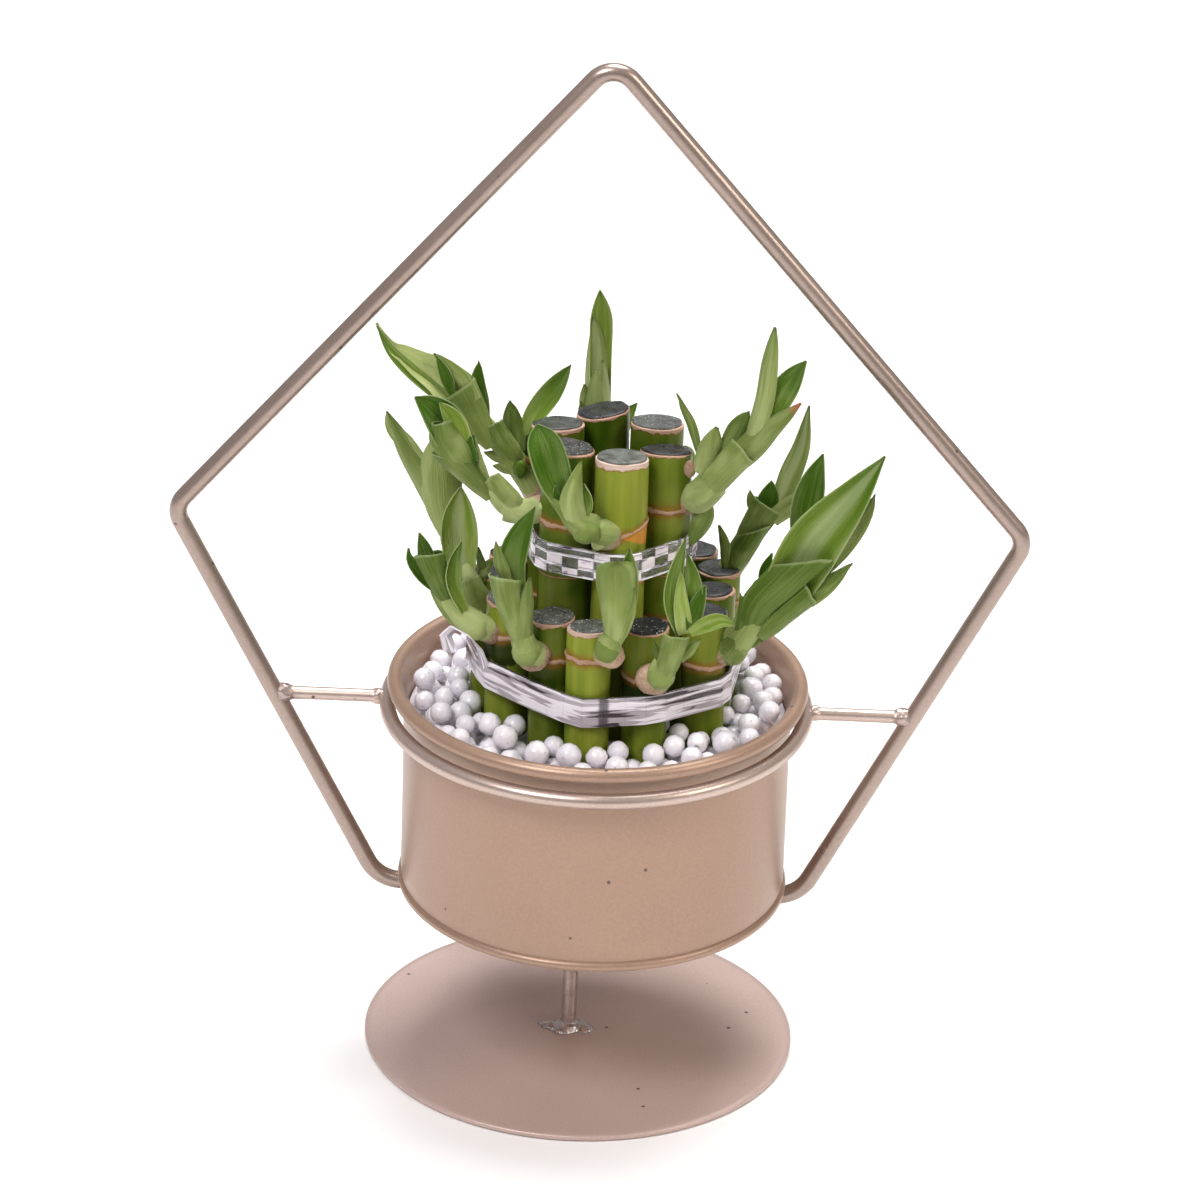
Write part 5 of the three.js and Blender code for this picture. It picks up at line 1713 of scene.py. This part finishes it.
# %% Shoot behind the low tier, left
make_shoot(
    "left_back",
    stem([(490, 592, 12), (470, 575, 11), (452, 545, 9.5), (445, 528, 8.5)], [3, 3, 2.8, 2.2], 0.5),
    blade([(446, 531, 7.5), (426, 484, 6.2), (404, 446, 5.6), (387, 411, 5)],
          6.6, 165, cup=120, pale=0.3, widest=0.4, foot=0.6, point=1.8),
    blade([(421, 463, 6.5), (405, 443, 6), (392, 427, 5.5), (387, 410.5, 5)],
          4.4, 160, pale=0.55, widest=0.3, foot=0.8, point=2.6),
    blade([(450, 536, 5.5), (443, 505, 4.5), (440, 470, 3.5), (436, 436, 3)],
          10.2, 178, cup=110, pale=0.5, widest=0.5, foot=0.5, point=2.8),
)

# %% Upright shoot at the left of the low tier
make_shoot(
    "left_tall",
    stem([(494, 606, -2), (480, 600, -5), (471, 582, -6), (465, 562, -6.5)], [3.2, 3.4, 2.6, 2.0], 0.95),
    sheath([(489, 608, -4.5), (476, 594, -6.8), (468, 574, -7.2)],
           (6.6, 6.2, 4.6), 190, 230, slant=0.2, pale=0.55),
    blade([(467, 578, -7), (460, 553, -7.5), (458, 522, -8), (460.5, 487, -7)],
          9.4, 12, cup=85, pale=0.5, widest=0.5, foot=0.4, point=2.3, middle_sheen=0.45),
    blade([(481, 585, -4), (482, 568, -4), (478, 547, -3.5)], 2.6, 160, pale=0.2),
    blade([(480, 577, -4.5), (487, 566, -4), (493, 558, -3.5)], 2.4, 180, pale=0.3, brown_tip=1.0),
)

# %% Outermost shoot at the left
make_shoot(
    "left_low",
    stem([(494, 630, -14), (475, 624, -17), (453, 606, -18.5), (441, 591, -19)], [3.4, 3.6, 2.8, 2.0], 0.7),
    knob((491, 631, -16), (2.4, 2.6, 3.4), 1.0),
    knob((477, 628, -18), (3.2, 3.0, 3.2), 0.0, 0.65),
    blade([(474, 630, -18.5), (452, 609, -19.5), (430, 587, -20)],
          6.0, 175, cup=140, pale=0.4, widest=0.3, foot=0.8),
    sheath([(448, 600, -19.5), (438, 576, -20.3), (427, 548, -20.8)],
           (4, 6.4, 7.6), 175, 350, 0.55, 0.08, 0.06, -0.1, 0.04),
    blade([(430, 575, -19.3), (426, 555, -19.3), (419.5, 533, -19)], 4.2, 0, pale=0.05, widest=0.35),
    blade([(434, 589, -19.5), (418, 571, -20), (410, 559, -20), (408.5, 548.5, -20)], 3.2, 20, pale=-0.1),
    blade([(464, 612, -20.5), (453, 584, -21), (454, 561, -21), (461.5, 542, -20.5)],
          4.0, 25, cup=100, pale=0.2, widest=0.5),
)

# %% Front shoot, left
make_shoot(
    "front_low_left",
    stem([(537, 655, -27), (527, 650, -30), (522, 632, -31.5)], [3.8, 3.6, 2.6], 0.6),
    knob((533, 656, -28.5), (4.2, 3.2, 4.2), 1.0),
    knob((548, 674, -25.5), (2.2, 1.0, 3.4), 1.6),
    knob((558, 666, -25.8), (1.6, 0.8, 1.8), 1.6),
    knob((526, 652, -30.8), (3.6, 3.2, 4.0), 0.0, 0.35),
    sheath([(521, 642, -31), (514, 618, -32.6), (508, 597, -33.3), (505, 569, -33.6)],
           (4.2, 5.2, 6.4, 8.2), 175, 230, 0.6, 0.05, 0.04, 0.3, 0.05),
    blade([(522, 650, -32.5), (521, 622, -34), (526, 600, -34.2), (530, 577, -33.8)],
          5.4, 178, cup=150, pale=0.25, widest=0.3, foot=0.9, point=1.6),
    blade([(517, 594, -31.5), (512, 564, -31.5), (520, 535, -30.5), (535, 507, -29)],
          6.8, 0, cup=70, pale=0.0, widest=0.45, foot=0.6, point=1.9),
    blade([(509, 585, -33), (500, 563, -33.2), (496, 541, -33)], 3.2, 165, pale=0.25),
)

# %% Front shoot, middle
make_shoot(
    "front",
    stem([(606, 652, -34), (608, 648, -37.5), (612, 634, -39)], [3.4, 3.4, 2.4], 0.5),
    knob((611, 656, -36.5), (3.6, 3.0, 3.2), 1.0),
    knob((607, 649, -38.5), (3.2, 3.0, 3.8), 0.0, 0.3),
    blade([(613, 647, -39.6), (616, 628, -40.6), (618, 603, -41.5), (617.5, 585, -41.8), (617, 562.5, -41.8)],
          10.2, 180, cup=165, pale=0.45, widest=0.76, foot=0.36, point=3.6),
    blade([(628, 616, -39), (628, 580, -39), (629.5, 549, -38)], 5.0, 10, pale=0.2, widest=0.5),
    blade([(620, 642, -40), (631, 612, -40.3), (635, 588, -40)], 2.6, 160, pale=0.4),
)

# %% Front shoot, right
make_shoot(
    "front_right",
    stem([(655, 679, -32), (660, 675, -35), (667, 660, -37)], [3.8, 3.8, 2.8], 0.5),
    knob((652, 679, -34.5), (4.4, 3.2, 4.2), 1.0),
    knob((661, 677, -37), (3.6, 3.0, 3.2), 0.0, 0.4),
    sheath([(664, 676, -37.3), (672, 653, -38.8), (679, 628, -39.6)],
           (4.8, 5.8, 6.4), 178, 230, 0.8, 0.1, 0.08, 0.3, -0.04),
    blade([(663, 664, -37.5), (657, 651, -38), (655, 641, -38)], 2.4, 160, pale=-0.1),
    blade([(680, 660, -38.5), (690, 649, -39), (701, 639, -39)], 2.8, 170, pale=0.4),
    blade([(680, 634, -39), (672, 604, -39.5), (675, 574, -39), (686, 537, -38)],
          4.6, 20, cup=80, pale=0.2, widest=0.45, point=1.7),
    blade([(685, 634, -39.4), (681, 602, -39.8), (681, 570, -39.3)], 4.2, 10, pale=0.6, widest=0.2, foot=0.8),
    blade([(688, 632, -38.5), (693, 600, -38.3), (692, 575, -37.8), (688, 555, -37)], 5.4, -10, pale=0.2),
    blade([(690, 631, -39.6), (697, 607, -39.4), (705.5, 585, -38.8)], 4.2, -10, pale=-0.1),
    blade([(690, 633, -40.5), (705, 625, -42), (720, 621, -42.8), (735, 625, -43)],
          3.9, 0, cup=50, pale=0.4, widest=0.55),
)

# %% Big shoot at the right
make_shoot(
    "right_big",
    stem([(716, 652, -16.5), (733, 644, -18.5), (752, 620, -20.5), (772, 596, -22)],
         [3.6, 4.4, 4.0, 2.8], 0.5),
    sheath([(727, 656, -18), (734, 647, -20), (741, 635, -21)],
           (8.2, 7.6, 6.0), 175, 230, 0.8, 0.3, pale=0.3),
    sheath([(745, 636, -21.5), (757, 606, -23.3), (783, 580, -24.2), (822, 541, -24.8)],
           (7.4, 8.4, 9.8, 11.4), 176, 360, 0.5, 0.04, 0.03, -0.05, -0.19),
    blade([(786, 590, -22.5), (815, 541, -23.5), (853, 496, -24), (885, 456.5, -23)],
          14.2, 5, cup=70, pale=0.2, widest=0.3, foot=0.85, point=1.7, middle_sheen=0.32),
    blade([(822, 570, -21.5), (850, 535, -21.5), (867, 512, -21.5), (875.5, 494, -21)],
          5.8, 160, pale=0.4, widest=0.4, foot=0.7),
    sheath([(760, 634, -22), (784, 612, -24), (814, 588, -25)],
           (5.6, 6.2, 6.8), 175, 330, 0.7, 0.2, pale=0.1),
    blade([(798, 602, -24.5), (828, 584, -24.8), (852.5, 563, -24.5)],
          5.6, 170, pale=0.15, widest=0.2, foot=0.9, point=1.6),
    blade([(810, 591, -23.3), (822, 578, -23.3), (831, 562.5, -23)], 3.8, 0, pale=-0.15),
    blade([(738, 655, -21.5), (744, 626, -23.6), (743, 606, -23.4), (740, 593, -22.6)],
          4.5, 175, pale=-0.15, widest=0.4, foot=0.7),
    blade([(724, 656, -20.5), (727, 643, -21.2), (733, 631, -21.2)], 4.8, 170, pale=-0.05),
    blade([(806, 566, -20), (806, 515, -18.5), (813, 482, -17), (823, 454, -16)],
          8.0, 0, cup=80, pale=0.05, widest=0.5),
    blade([(764, 591, -21), (765, 571, -20.5), (772, 553.5, -20.5)], 2.8, 0, pale=DARK),
    blade([(752, 601, -21), (755, 590, -21), (757, 580, -21)], 2.6, 0, pale=DARK),
    blade([(748, 646, -21), (758, 638, -21.5), (770, 633.5, -21.5)], 3.0, 170, pale=0.1),
)

# %% Shoot behind the big one
make_shoot(
    "right_back",
    stem([(722, 582, 11.5), (733, 564, 12.5), (752, 532, 13.5), (764, 514, 13.5)], [3.2, 3.4, 3.2, 2.4], 0.4),
    sheath([(731, 567, 11), (745, 545, 11), (762, 516, 11)],
           (6.2, 6.4, 6.2), 175, 350, 0.8, 0.05, 0.04, 0.0, -0.24),
    sheath([(743, 548, 11.8), (756, 525, 11.8), (770, 504, 11.8)],
           (6, 7.2, 8.4), 178, 350, 0.5, 0.05, 0.03, 0.15),
    blade([(764, 513, 13), (769, 497, 13), (772, 481, 13)], 5.4, 0, pale=DARK),
    blade([(774, 518, 12.4), (788, 478, 12.4), (801, 446, 12.2), (809.5, 405.5, 12)],
          5.8, 160, cup=80, pale=0.35, widest=0.4, foot=0.8, point=1.6, middle_sheen=0.35),
    blade([(772, 519, 10.5), (791, 505, 10), (810, 492, 9.5)], 4.6, 175, pale=0.5, foot=0.9, point=3.0),
    blade([(725, 567, 9.5), (725, 545, 9.5), (719, 525, 9.5)], 2.6, 170, pale=0.1),
    blade([(757, 516, 14), (752, 503, 14), (750, 490, 14)], 2.8, 160, pale=0.5),
)

# %% Tall shoot at the back
make_shoot(
    "back",
    stem([Vector((-2, 31, 124)), Vector((-3, 35, 132)), Vector((-3, 36, 150)), Vector((-3, 34, 166)),
          Vector((-2.5, 33, 180))], [3.2, 3.6, 3.2, 2.8, 2.2], 0.45),
    sheath([Vector((-3, 36, 136)), Vector((-3.3, 36.5, 146)), Vector((-3.5, 37, 157))],
           (7.2, 8.6), slant=0.3),
    blade([(599, 422, 33), (601, 395, 32.5), (603, 360, 31.5)],
          4.6, 178, cup=150, pale=0.75, widest=0.2, foot=0.9, point=1.8),
    blade([(592, 425, 33.5), (587, 405, 33.2), (584.5, 384, 32.8)], 3.6, 178, cup=120, pale=0.4, foot=0.8),
    blade([(597, 430, 34), (597, 380, 33.5), (596.5, 345, 33), (594.5, 316, 32.5)],
          6.2, 176, cup=120, pale=0.55, widest=0.3, foot=0.85, point=2.2, middle_sheen=0.3),
    blade([(600, 410, 34.6), (600, 360, 34.3), (601, 320, 34), (600, 290.5, 33.5)],
          5.8, 10, cup=70, pale=0.5, widest=0.72, foot=0.9, point=2.0),
    blade([(594, 434, 34.2), (585, 417, 33), (580.5, 401, 32)], 3.4, 170, pale=0.2),
    blade([Vector((-4, 38, 148)), Vector((-8, 46, 154)), Vector((-12, 52, 152))], 8, 20, pale=0.15),
    blade([Vector((0, 37, 154)), Vector((5, 42, 162)), Vector((8, 44, 166))], 6, -20, pale=0.2),
)

# %% Small shoot at the back
make_shoot(
    "back_right",
    stem([Vector((15, 30.5, 124)), Vector((17.5, 35, 129)), Vector((19, 38, 138)), Vector((18, 39.5, 148))],
         [3.2, 3.8, 3.4, 2.4], 0.45),
    sheath([Vector((18, 36, 131)), Vector((18.5, 38.5, 139)), Vector((18.5, 40, 147))],
           (6.8, 8.8), slant=0.25),
    blade([Vector((18, 39.5, 144)), Vector((15, 44, 154)), Vector((12, 44, 161))], 8, 10, pale=0.15),
    blade([Vector((19, 39, 143)), Vector((21.5, 44, 150)), Vector((21, 49, 152))], 6.4, -20, pale=0.2),
)
